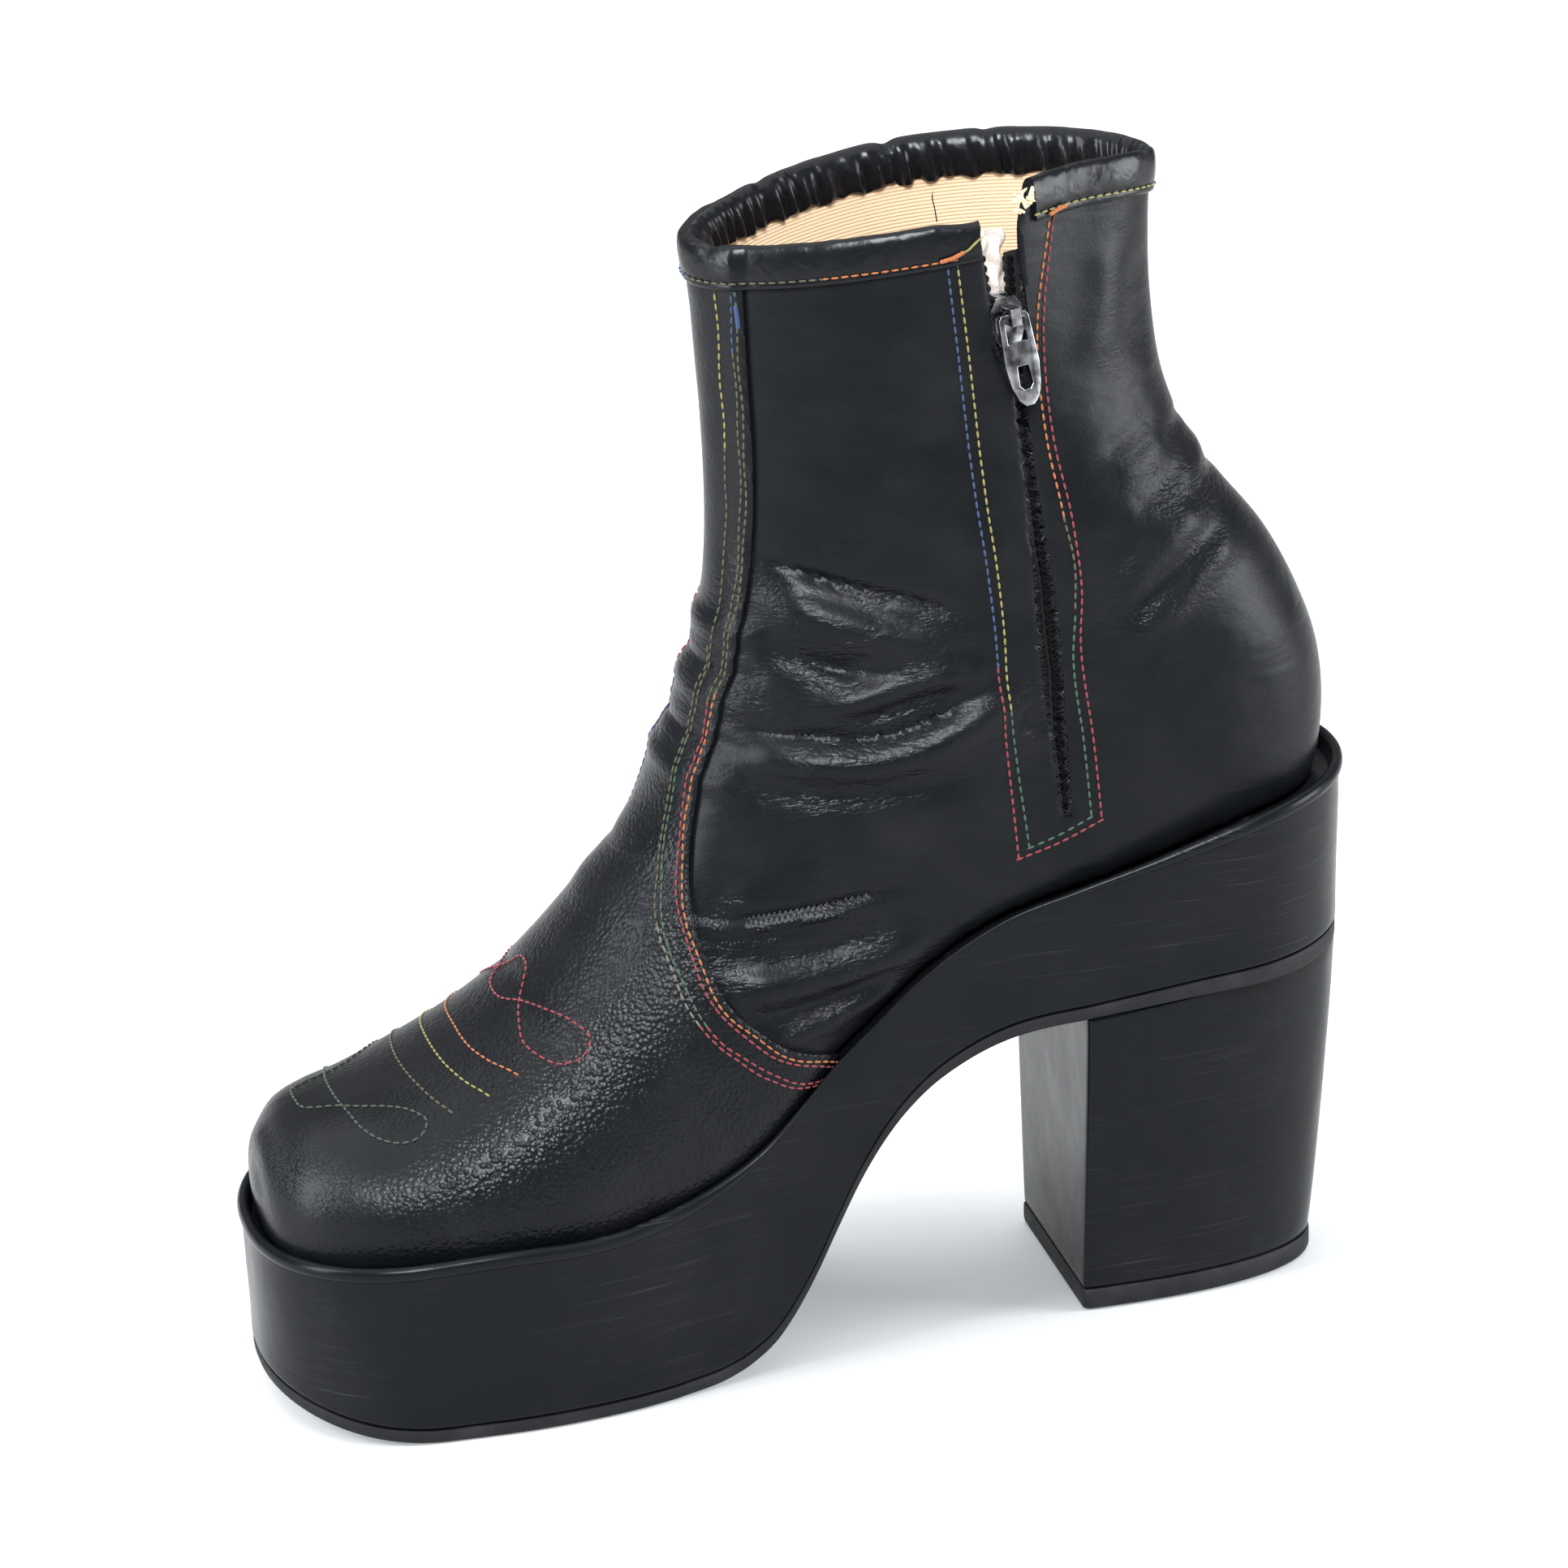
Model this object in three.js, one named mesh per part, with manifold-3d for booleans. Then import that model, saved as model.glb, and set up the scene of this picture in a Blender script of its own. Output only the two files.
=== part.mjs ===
// A zip-up platform ankle boot for the right foot, built in the way that a maker puts one together.
// Millimetres, +Z up. The toe points to -X and the inner side, with the zip, faces -Y.
// The sole stands on Z = 0, and the origin lies under the middle of its length.
import * as THREE from "three";
import { mergeVertices } from "three/addons/utils/BufferGeometryUtils.js";
import Module from "manifold-3d";

const wasm = await Module();
wasm.setup();

// Driving dimensions
const soleLength = 250; // toe lip to heel lip, along the floor
const ballWidth = 92; // over the platform's lip at the ball of the foot
const heelWidth = 65; // over the platform's lip at the heel
const platformHeight = 40.5; // floor to the bed that the upper stands on, at the ball
const seatHeight = 118; // floor to the same bed, at the back of the heel
const toeSpring = 6.5; // how far the toe's tip is off the floor
const lipHeight = 2.8; // the platform's raised edge above the bed
const lipWidth = 2.6;
const instepRise = 203; // bed to collar, at the front of the shaft
const shaftDepth = 103; // collar, front to back
const shaftWidth = 54; // collar, side to side
const wall = 1.8; // leather and lining
const overlayThickness = 1.2; // the vamp, where it laps over the quarters
const breastHeight = 72.5; // floor to the outsole's underside at the heel's front face
const heelRise = 5; // how much higher the outsole's underside is at the back of the heel
const outsoleThickness = 3;
const seatThickness = 4.5; // the outsole at the back, where it is sandwiched over the heel
const toplipThickness = 5; // rubber under the heel
const heelFootWidth = 50; // the heel block at the floor
const heelLean = 5.5; // how far the heel's back slopes in on its way down
const insoleThickness = 2;
const bindingDrop = 7; // how far the collar's binding reaches down
const bindingThickness = 1.1;
const zipLength = 134.5; // collar edge to the end of the slot
const zipOpen = 19; // collar edge to the slider's top, where the zip stands open
const slotWidth = 2.4;
const zipMouth = 8.6; // the slot at the slider and above it
const tapeWidth = 10;
const tapeThickness = 0.7;
const chainDepth = 2; // the teeth, in and out
const chainHalf = 2; // one row of teeth, bead and tooth together
const toothPitch = 6;
const sliderLength = 10.5;
const plateThickness = 1.1;
const pullLength = 20;
const pullWidth = 8;
const pullThickness = 1.3;
const pinSide = 1.3; // the pull's cross bar, square with broken edges
const gap = 0.3; // between pieces that touch
const sliderClear = 0.5; // between the slider's plates and the teeth
const zipClear = 0.85; // from the leather's inner face to the zip behind it, over its flat facets

// How finely the curved forms are cut
const ringsPerRow = 1.1;
const ringPoints = 28;
const outlinePoints = 30;

// Smooth curve through one column of a table
function smooth(rows, key) {
  const x = rows.map((row, i) => row.at ?? i);
  const y = rows.map((row) => row[key] ?? 0);
  const last = x.length - 1;
  const secant = (i) => (y[i + 1] - y[i]) / (x[i + 1] - x[i]);
  const slope = (i) => {
    if (i === 0) return secant(0);
    if (i === last) return secant(last - 1);
    const before = x[i] - x[i - 1];
    const after = x[i + 1] - x[i];
    return (after * secant(i - 1) + before * secant(i)) / (before + after);
  };
  return (at) => {
    if (at <= x[0]) return y[0] + (at - x[0]) * slope(0);
    if (at >= x[last]) return y[last] + (at - x[last]) * slope(last);
    let i = 0;
    while (at > x[i + 1]) i++;
    const h = x[i + 1] - x[i];
    const t = (at - x[i]) / h;
    return (
      y[i] * (1 + 2 * t) * (1 - t) ** 2 +
      y[i + 1] * t * t * (3 - 2 * t) +
      h * (slope(i) * t * (1 - t) ** 2 - slope(i + 1) * t * t * (1 - t))
    );
  };
}

// Places along the boot are shares of its length, 0 at the toe's tip and 1 at the heel's back
const xAt = (share) => (share - 0.5) * soleLength;
const shareAt = (x) => x / soleLength + 0.5;

// The bed under the upper: rise is a share of the way from platformHeight to seatHeight
const bedTable = [
  { at: 0, rise: -0.026 },
  { at: 0.1, rise: -0.012 },
  { at: 0.2, rise: 0 },
  { at: 0.3, rise: 0 },
  { at: 0.34, rise: 0.019 },
  { at: 0.396, rise: 0.071 },
  { at: 0.44, rise: 0.152 },
  { at: 0.476, rise: 0.262 },
  { at: 0.508, rise: 0.374 },
  { at: 0.548, rise: 0.49 },
  { at: 0.584, rise: 0.594 },
  { at: 0.62, rise: 0.675 },
  { at: 0.664, rise: 0.748 },
  { at: 0.728, rise: 0.805 },
  { at: 0.796, rise: 0.858 },
  { at: 0.904, rise: 0.948 },
  { at: 1, rise: 1 },
];
const bedRise = smooth(bedTable, "rise");
const bed = (x) => platformHeight + (seatHeight - platformHeight) * bedRise(shareAt(x));

// The outsole's underside behind the ball: rise is a share of breastHeight, back one of heelRise
const archTable = [
  { at: 0.355, rise: 0, back: 0 },
  { at: 0.404, rise: 0.017, back: 0 },
  { at: 0.428, rise: 0.048, back: 0 },
  { at: 0.453, rise: 0.11, back: 0 },
  { at: 0.47, rise: 0.186, back: 0 },
  { at: 0.488, rise: 0.29, back: 0 },
  { at: 0.507, rise: 0.42, back: 0 },
  { at: 0.53, rise: 0.572, back: 0 },
  { at: 0.56, rise: 0.725, back: 0 },
  { at: 0.59, rise: 0.832, back: 0 },
  { at: 0.625, rise: 0.912, back: 0 },
  { at: 0.666, rise: 0.97, back: 0 },
  { at: 0.7, rise: 0.993, back: 0 },
  { at: 0.732, rise: 1, back: 0.05 },
  { at: 0.85, rise: 1, back: 0.62 },
  { at: 1, rise: 1, back: 1 },
];
const archRise = smooth(archTable, "rise");
const archBack = smooth(archTable, "back");
const springShare = 0.15; // where the toe leaves the floor
const breastShare = 0.732; // the heel's front face
function floorLine(x) {
  const share = shareAt(x);
  if (share < springShare) return toeSpring * (1 - share / springShare) ** 2;
  if (share < archTable[0].at) return 0;
  return breastHeight * archRise(share) + heelRise * archBack(share);
}
const soleGauge = (x) => {
  const t = THREE.MathUtils.clamp((shareAt(x) - breastShare) / (1 - breastShare), 0, 1);
  return outsoleThickness + (seatThickness - outsoleThickness) * t;
};
const platformFloor = (x) => floorLine(x) + soleGauge(x) + gap;

// The platform's outline: ball and heel are shares of the two half widths, lip one of lipHeight,
// and skew, a share of ballWidth, bends the middle line towards the outer side
const outlineTable = [
  { at: 0, ball: 0.82, heel: 0, skew: -0.075, lip: 1 },
  { at: 0.08, ball: 0.9, heel: 0, skew: -0.055, lip: 1 },
  { at: 0.16, ball: 0.96, heel: 0, skew: -0.034, lip: 1 },
  { at: 0.23, ball: 0.99, heel: 0, skew: -0.018, lip: 1 },
  { at: 0.31, ball: 0.965, heel: 0, skew: -0.001, lip: 1 },
  { at: 0.4, ball: 0.55, heel: 0.44, skew: 0.018, lip: 0.85 },
  { at: 0.47, ball: 0.25, heel: 0.745, skew: 0.022, lip: 0.3 },
  { at: 0.55, ball: 0.05, heel: 0.96, skew: 0.018, lip: 0.12 },
  { at: 0.65, ball: 0, heel: 1, skew: 0.01, lip: 0.15 },
  { at: 0.76, ball: 0, heel: 1.005, skew: 0.003, lip: 0.55 },
  { at: 0.86, ball: 0, heel: 1, skew: 0, lip: 1 },
  { at: 1, ball: 0, heel: 0.96, skew: 0, lip: 1 },
];
const outlineBall = smooth(outlineTable, "ball");
const outlineHeel = smooth(outlineTable, "heel");
const outlineSkew = smooth(outlineTable, "skew");
const outlineLip = smooth(outlineTable, "lip");
const toeRound = { reach: 0.144, power: 2.4 }; // reach is a share of the length
const heelRound = { reach: 0.132, power: 2.15 };

// How a half width closes towards a round end: 0 at the end, 1 past its reach
function closing(share, { reach, power }) {
  const t = THREE.MathUtils.clamp(1 - share / reach, 0, 1);
  return (1 - t ** power) ** (1 / power);
}
function halfWidth(share) {
  const body = outlineBall(share) * (ballWidth / 2) + outlineHeel(share) * (heelWidth / 2);
  return body * closing(share, toeRound) * closing(1 - share, heelRound);
}

// Shares of the length, close together at both round ends
const outlineShares = Array.from({ length: outlinePoints + 1 }, (_, i) => {
  const t = i / outlinePoints;
  return t - Math.sin(2 * Math.PI * t) * 0.118 - Math.sin(4 * Math.PI * t) * 0.02;
});

// The outline's points, out millimetres outside it: toe tip, inner side, heel tip, outer side
function outlineRing(out, height) {
  const side = (sign) =>
    outlineShares.map((share) => {
      const y = outlineSkew(share) * ballWidth + sign * halfWidth(share);
      return new THREE.Vector2(xAt(share), y);
    });
  const loop = [...side(-1), ...side(1).slice(1, -1).reverse()];
  return loop.map((point, i) => {
    const before = loop[(i + loop.length - 1) % loop.length];
    const after = loop[(i + 1) % loop.length];
    const way = after.clone().sub(before).normalize();
    const moved = new THREE.Vector2(way.y, -way.x).multiplyScalar(out).add(point);
    return new THREE.Vector3(moved.x, moved.y, height(point.x));
  });
}

// A closed mesh over rings of equally many points. Each end is closed by strips between the
// points that face each other, counted both ways from the ring's first point.
function ringBody(rings) {
  const n = rings[0].length;
  const vertices = rings.flat().flatMap((p) => [p.x, p.y, p.z]);
  const index = [];
  const quad = (a, b, c, d) => index.push(a, b, c, a, c, d);
  for (let r = 0; r + 1 < rings.length; r++) {
    for (let i = 0; i < n; i++) {
      const j = (i + 1) % n;
      quad(r * n + i, r * n + j, (r + 1) * n + j, (r + 1) * n + i);
    }
  }
  const top = (rings.length - 1) * n;
  for (let i = 0; i < n / 2; i++) {
    const a = i;
    const b = i + 1;
    const c = (n - i - 1) % n;
    const d = (n - i) % n;
    if (a !== d) index.push(a, d, b, top + a, top + b, top + d);
    if (b !== c) index.push(b, d, c, top + b, top + c, top + d);
  }
  const geometry = new THREE.BufferGeometry();
  geometry.setAttribute("position", new THREE.Float32BufferAttribute(vertices, 3));
  geometry.setIndex(index);
  return geometry;
}

// A geometry's bare shape, with the points that coincide made one
const mergeReach = 1e-4;
function mergedBare(geometry) {
  const bare = geometry.clone();
  bare.deleteAttribute("normal");
  bare.deleteAttribute("uv");
  return mergeVertices(bare, mergeReach);
}

// Between three.js geometry and manifold solids
function solidOf(geometry) {
  const merged = mergedBare(geometry);
  const solid = new wasm.Manifold(
    new wasm.Mesh({
      numProp: 3,
      vertProperties: new Float32Array(merged.attributes.position.array),
      triVerts: new Uint32Array(merged.index.array),
    }),
  );
  if (solid.volume() > 0) return solid;
  const turned = merged.index.array;
  for (let i = 0; i < turned.length; i += 3) {
    [turned[i + 1], turned[i + 2]] = [turned[i + 2], turned[i + 1]];
  }
  return new wasm.Manifold(
    new wasm.Mesh({
      numProp: 3,
      vertProperties: new Float32Array(merged.attributes.position.array),
      triVerts: new Uint32Array(turned),
    }),
  );
}
function geometryOf(solid) {
  const mesh = solid.getMesh();
  const positions = [];
  for (let i = 0; i < mesh.numVert; i++) {
    const at = i * mesh.numProp;
    positions.push(...mesh.vertProperties.subarray(at, at + 3));
  }
  const geometry = new THREE.BufferGeometry();
  geometry.setAttribute("position", new THREE.Float32BufferAttribute(positions, 3));
  geometry.setIndex([...mesh.triVerts]);
  return geometry;
}

// A solid with the given side view, points being [x, z], from one Y to another
function slab(points, fromY, toY) {
  const shape = new THREE.Shape(points.map(([x, z]) => new THREE.Vector2(x, z)));
  const geometry = new THREE.ExtrudeGeometry(shape, { depth: toY - fromY, bevelEnabled: false });
  geometry.rotateX(Math.PI / 2);
  geometry.translate(0, toY, 0);
  return solidOf(geometry);
}

// The upper's sections, from the toe's tip to the collar, each lying in a plane through a front
// point and a back point. The planes stand upright at the toe and turn level up the shaft.
// The first table places the two points, and the second gives the section's shape.
// fl and bl: the two points' X, as shares of the length from its middle
// fd and bd: what is added, as shares of shaftDepth
// fz and bz: their height above the bed, as shares of instepRise
// ball, heel, shaft: the half width, as shares of the three half widths
// mid: where the section is widest, 0 at the back point and 1 at the front one
// nf and nb: how full its front and its back are, 2 being an ellipse
// skew: its middle, as a share of ballWidth, and lean: the rise towards the outer side
// tuck: how far the flap behind the zip is pushed in, as a share of shaftWidth
// crown: how far its two sides rise above its ends, as a share of instepRise
const sectionPlaces = [
  { fl: -0.48, fz: 0.069, bl: -0.48, bz: 0.026 },
  { fl: -0.4765, fz: 0.087, bl: -0.4765, bz: -0.003 },
  { fl: -0.467, fz: 0.097, bl: -0.467, bz: -0.021 },
  { fl: -0.45, fz: 0.114, bl: -0.45, bz: -0.026 },
  { fl: -0.422, fz: 0.12, bl: -0.422, bz: -0.026 },
  { fl: -0.386, fz: 0.126, bl: -0.388, bz: -0.026 },
  { fl: -0.34, fz: 0.147, bl: -0.344, bz: -0.026 },
  { fl: -0.288, fz: 0.18, bl: -0.292, bz: -0.026 },
  { fl: -0.238, fz: 0.232, bl: -0.228, bz: -0.026 },
  { fl: -0.194, fz: 0.287, bl: -0.164, bz: -0.026 },
  { fl: -0.156, fz: 0.336, bl: -0.104, bz: -0.026 },
  { fl: -0.123, fz: 0.386, bl: -0.044, bz: -0.026 },
  { fl: -0.106, fz: 0.435, bl: 0.024, bz: -0.026 },
  { fl: -0.087, fz: 0.482, bl: 0.1, bz: -0.026 },
  { fl: -0.07, fz: 0.537, bl: 0.188, bz: -0.026 },
  { fl: 0.138, fd: -0.48, fz: 0.581, bl: 0.28, bz: -0.026 },
  { fl: 0.14, fd: -0.476, fz: 0.62, bl: 0.37, bz: -0.026 },
  { fl: 0.14, fd: -0.473, fz: 0.655, bl: 0.448, bz: -0.024 },
  { fl: 0.14, fd: -0.472, fz: 0.688, bl: 0.472, bz: 0.008 },
  { fl: 0.14, fd: -0.472, fz: 0.72, bl: 0.482, bz: 0.071 },
  { fl: 0.14, fd: -0.473, fz: 0.75, bl: 0.479, bz: 0.139 },
  { fl: 0.14, fd: -0.474, fz: 0.778, bl: 0.462, bz: 0.207 },
  { fl: 0.14, fd: -0.476, fz: 0.804, bl: 0.434, bz: 0.28 },
  { fl: 0.14, fd: -0.478, fz: 0.83, bl: 0.395, bz: 0.352 },
  { fl: 0.14, fd: -0.48, fz: 0.857, bl: 0.14, bd: 0.545, bz: 0.421 },
  { fl: 0.14, fd: -0.482, fz: 0.884, bl: 0.14, bd: 0.498, bz: 0.493 },
  { fl: 0.14, fd: -0.486, fz: 0.911, bl: 0.14, bd: 0.48, bz: 0.578 },
  { fl: 0.14, fd: -0.49, fz: 0.94, bl: 0.14, bd: 0.48, bz: 0.653 },
  { fl: 0.14, fd: -0.494, fz: 0.958, bl: 0.14, bd: 0.489, bz: 0.716 },
];
const sectionShapes = [
  { ball: 0.15, mid: 0.5, nf: 2.2, nb: 2.2, skew: -0.072 },
  { ball: 0.3, mid: 0.45, nf: 2.3, nb: 2.6, skew: -0.069 },
  { ball: 0.44, mid: 0.42, nf: 2.4, nb: 3, skew: -0.063 },
  { ball: 0.565, mid: 0.4, nf: 2.4, nb: 3.4, skew: -0.056 },
  { ball: 0.68, mid: 0.38, nf: 2.4, nb: 3.8, skew: -0.047 },
  { ball: 0.77, mid: 0.36, nf: 2.3, nb: 4, skew: -0.037 },
  { ball: 0.832, mid: 0.34, nf: 2.2, nb: 4, skew: -0.026 },
  { ball: 0.868, mid: 0.32, nf: 2.1, nb: 4, skew: -0.015 },
  { ball: 0.873, mid: 0.3, nf: 2, nb: 4, skew: -0.006 },
  { ball: 0.84, mid: 0.29, nf: 1.95, nb: 4, skew: 0.006 },
  { ball: 0.57, heel: 0.33, mid: 0.29, nf: 1.95, nb: 4, skew: 0.014 },
  { ball: 0.37, heel: 0.52, mid: 0.3, nf: 1.95, nb: 4.4, skew: 0.018 },
  { ball: 0.18, heel: 0.715, mid: 0.32, nf: 2, nb: 5, skew: 0.018 },
  { ball: 0.04, heel: 0.885, mid: 0.36, nf: 2, nb: 5.6, skew: 0.014 },
  { heel: 0.925, mid: 0.4, nf: 2, nb: 6, skew: 0.012 },
  { heel: 0.915, mid: 0.42, nf: 2, nb: 6, skew: 0.01 },
  { heel: 0.89, mid: 0.42, nf: 2, nb: 5, skew: 0.01 },
  { heel: 0.87, mid: 0.4, nf: 2, nb: 3.6, skew: 0.01 },
  { heel: 0.76, shaft: 0.16, mid: 0.4, nf: 2, nb: 2.9, skew: 0.011 },
  { heel: 0.58, shaft: 0.37, mid: 0.41, nf: 2, nb: 2.6, skew: 0.013 },
  { heel: 0.4, shaft: 0.585, mid: 0.43, nf: 2, nb: 2.4, skew: 0.016 },
  { heel: 0.2, shaft: 0.79, mid: 0.45, nf: 2, nb: 2.3, skew: 0.02 },
  { heel: 0.08, shaft: 0.91, mid: 0.46, nf: 2, nb: 2.2, skew: 0.024 },
  { shaft: 0.98, mid: 0.47, nf: 2, nb: 2.15, skew: 0.029, lean: 0.012 },
  { shaft: 0.975, mid: 0.48, nf: 1.98, nb: 2.1, skew: 0.034, lean: 0.022, tuck: 0.01, crown: 0.001 },
  { shaft: 0.975, mid: 0.49, nf: 1.95, nb: 2.05, skew: 0.039, lean: 0.032, tuck: 0.035, crown: 0.003 },
  { shaft: 0.98, mid: 0.5, nf: 1.9, nb: 2, skew: 0.044, lean: 0.042, tuck: 0.075, crown: 0.006 },
  { shaft: 0.99, mid: 0.5, nf: 1.85, nb: 1.95, skew: 0.049, lean: 0.05, tuck: 0.12, crown: 0.009 },
  { shaft: 1, mid: 0.5, nf: 1.8, nb: 1.9, skew: 0.054, lean: 0.055, tuck: 0.155, crown: 0.011 },
];
const sections = sectionPlaces.map((place, i) => ({ ...place, ...sectionShapes[i] }));
const columns = Object.keys(sections.at(-1)).concat("ball", "heel");
const column = Object.fromEntries(columns.map((key) => [key, smooth(sections, key)]));
const collar = sections.length - 1; // the station of the upper's top edge

const flapLift = 0.6; // how much the flap behind the zip rises, as a share of its tuck
// The section at a station: its points by angle, 0 at the back point, a half turn at the front one,
// and on the inner side before that
function sectionPoint(station, angle) {
  const get = (key) => column[key](station);
  const front = get("fl") * soleLength + get("fd") * shaftDepth;
  const back = get("bl") * soleLength + get("bd") * shaftDepth;
  const frontZ = bed(front) + get("fz") * instepRise;
  const backZ = bed(back) + get("bz") * instepRise;
  const half =
    (get("ball") * ballWidth + get("heel") * heelWidth + get("shaft") * shaftWidth) / 2;
  const along = -Math.cos(angle);
  const power = 2 / (along < 0 ? get("nb") : get("nf"));
  const reach = Math.sign(along) * Math.abs(along) ** power;
  const width = Math.sign(Math.sin(angle)) * Math.abs(Math.sin(angle)) ** power;
  const mid = get("mid");
  const t = mid + (along < 0 ? mid : 1 - mid) * reach;
  const behindZip = THREE.MathUtils.smoothstep(-along, 0.1, 0.7) * Math.max(width, 0);
  const tucked = get("tuck") * shaftWidth * behindZip;
  const y = get("skew") * ballWidth - half * width + tucked;
  const lifted = flapLift * get("tuck") * shaftWidth * THREE.MathUtils.smoothstep(-along, 0.1, 0.35);
  const rise = get("crown") * instepRise * width * width + lifted * Math.max(width, 0);
  return new THREE.Vector3(
    back + (front - back) * t,
    y,
    backZ + (frontZ - backZ) * t + get("lean") * y + rise,
  );
}

// The same section as equally spaced points, from the back point round the inner side
const fineSteps = 72;
function sectionRing(station, count) {
  const half = (from) => {
    const fine = Array.from({ length: fineSteps + 1 }, (_, i) =>
      sectionPoint(station, from + (Math.PI * i) / fineSteps),
    );
    const run = [0];
    fine.slice(1).forEach((p, i) => run.push(run[i] + p.distanceTo(fine[i])));
    let k = 0;
    return Array.from({ length: count / 2 }, (_, i) => {
      const want = (run[fineSteps] * i) / (count / 2);
      while (run[k + 1] < want) k++;
      return fine[k].clone().lerp(fine[k + 1], (want - run[k]) / (run[k + 1] - run[k]));
    });
  };
  return [...half(0), ...half(Math.PI)];
}

// The upper's skin as a grid of rings, each point with its normal and its way up the boot
const ringCount = Math.round(collar * ringsPerRow);
const skinGrid = (() => {
  const rings = Array.from({ length: ringCount + 1 }, (_, i) =>
    sectionRing((collar * i) / ringCount, ringPoints),
  );
  return rings.map((ring, r) =>
    ring.map((point, i) => {
      const below = rings[Math.max(r - 1, 0)][i];
      const above = rings[Math.min(r + 1, ringCount)][i];
      const along = above.clone().sub(below).normalize();
      const around = ring[(i + 1) % ringPoints]
        .clone()
        .sub(ring[(i + ringPoints - 1) % ringPoints]);
      const normal = new THREE.Vector3().crossVectors(along, around).normalize();
      return { point, normal, along };
    }),
  );
})();
const gridOut = ({ point, normal }, out) => point.clone().addScaledVector(normal, out);

// The space inside the skin moved out, with its top edge run on past the collar by raise
function skinSolid(out, raise = 0) {
  const rings = skinGrid.map((ring) => ring.map((spot) => gridOut(spot, out)));
  rings[ringCount].forEach((p, i) => p.addScaledVector(skinGrid[ringCount][i].along, raise));
  return solidOf(ringBody(rings));
}
const openTop = 3; // how far a cutting skin runs past the collar

// A point of the skin by station and by share of the way round, moved out along its normal
function skinOut(station, round, out) {
  const across = (station / collar) * ringCount;
  const r = Math.min(Math.max(Math.floor(across), 0), ringCount - 1);
  const at = (((round % 1) + 1) % 1) * ringPoints;
  const i = Math.floor(at) % ringPoints;
  const j = (i + 1) % ringPoints;
  const share = at - Math.floor(at);
  const below = gridOut(skinGrid[r][i], out).lerp(gridOut(skinGrid[r][j], out), share);
  const above = gridOut(skinGrid[r + 1][i], out).lerp(gridOut(skinGrid[r + 1][j], out), share);
  return below.addScaledVector(above.sub(below), across - r);
}
const skinAt = (station, round) => skinOut(station, round, 0);

// The station at a distance below the collar's edge, measured down the skin at a place round it
function stationBelow(distance, round) {
  const edge = skinAt(collar, round);
  const step = 0.1;
  const travel = edge.distanceTo(skinAt(collar - step, round));
  return collar - (step * distance) / travel;
}

// The point of the inner side that has a given X and Z, moved out along the skin's normal
const searchStations = Array.from({ length: 18 }, (_, i) => collar - 0.9 * i);
const searchRounds = Array.from({ length: 12 }, (_, i) => 0.06 + 0.034 * i);
function innerSide(x, z, out) {
  let best = { miss: Infinity };
  for (const station of searchStations) {
    for (const round of searchRounds) {
      const p = skinAt(station, round);
      const miss = (p.x - x) ** 2 + (p.z - z) ** 2;
      if (miss < best.miss) best = { miss, station, round };
    }
  }
  let { station, round } = best;
  const ds = 0.02;
  const dr = 0.002;
  for (let pass = 0; pass < 12; pass++) {
    const p = skinAt(station, round);
    const s = skinAt(station + ds, round).sub(p).divideScalar(ds);
    const r = skinAt(station, round + dr).sub(p).divideScalar(dr);
    const det = s.x * r.z - s.z * r.x;
    station += ((x - p.x) * r.z - (z - p.z) * r.x) / det;
    round += ((z - p.z) * s.x - (x - p.x) * s.z) / det;
  }
  return skinOut(station, round, out);
}

// Everything below the bed, raised by a clearance, and everything above it
const farY = ballWidth;
const pastEnds = 0.6; // from the middle, as a share of the length
const bedLine = (raise) =>
  outlineShares.map((share) => [xAt(share), bed(xAt(share)) + raise]);
function underBed(raise) {
  const reach = soleLength * pastEnds;
  const line = bedLine(raise);
  const ends = [
    [-reach, line[0][1]],
    ...line,
    [reach, line.at(-1)[1]],
    [reach, -platformHeight],
    [-reach, -platformHeight],
  ];
  return slab(ends, -farY, farY);
}

// The zip's middle line on the inner side: at is the share of the way down, x one of shaftDepth
// behind the middle of the shaft
const zipTable = [
  { at: 0, x: 0.095 },
  { at: 0.1, x: 0.105 },
  { at: 0.25, x: 0.125 },
  { at: 0.5, x: 0.15 },
  { at: 0.75, x: 0.175 },
  { at: 1, x: 0.2 },
];
const zipShift = smooth(zipTable, "x");
const shaftShare = 0.14; // the shaft's middle, from the sole's middle, as in the sections above
const shaftMiddle = shaftShare * soleLength;
const zipTopZ = (() => {
  const x = shaftMiddle + zipShift(0) * shaftDepth;
  let low = 0.1;
  let high = 0.4;
  for (let pass = 0; pass < 40; pass++) {
    const round = (low + high) / 2;
    if (skinAt(collar, round).x > x) low = round;
    else high = round;
  }
  return skinAt(collar, low).z;
})();
const zipLine = (down) => [
  shaftMiddle + zipShift(down / zipLength) * shaftDepth,
  zipTopZ - down,
];
// A point beside the zip: across is towards the heel, down from the collar, out from the leather
const besideZip = (across, down, out) => {
  const [x, z] = zipLine(down);
  return innerSide(x + across, z, out);
};

// Half the slot's width at a distance down from the collar
const sliderEnd = zipOpen + sliderLength;
function slotHalf(down) {
  const closing = THREE.MathUtils.clamp((down - sliderEnd - 1) / 5, 0, 1);
  return (zipMouth + (slotWidth - zipMouth) * closing) / 2;
}
const slotStep = 6;
function slotSlab() {
  const down = [-6, 0, zipOpen, sliderEnd + 1];
  for (let d = sliderEnd + slotStep; d < zipLength; d += slotStep) down.push(d);
  down.push(zipLength);
  const edge = (sign) =>
    down.map((d) => {
      const [x, z] = zipLine(d);
      return [x + sign * slotHalf(d), z];
    });
  return slab([...edge(-1), ...edge(1).reverse()], -farY, 0);
}

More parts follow.
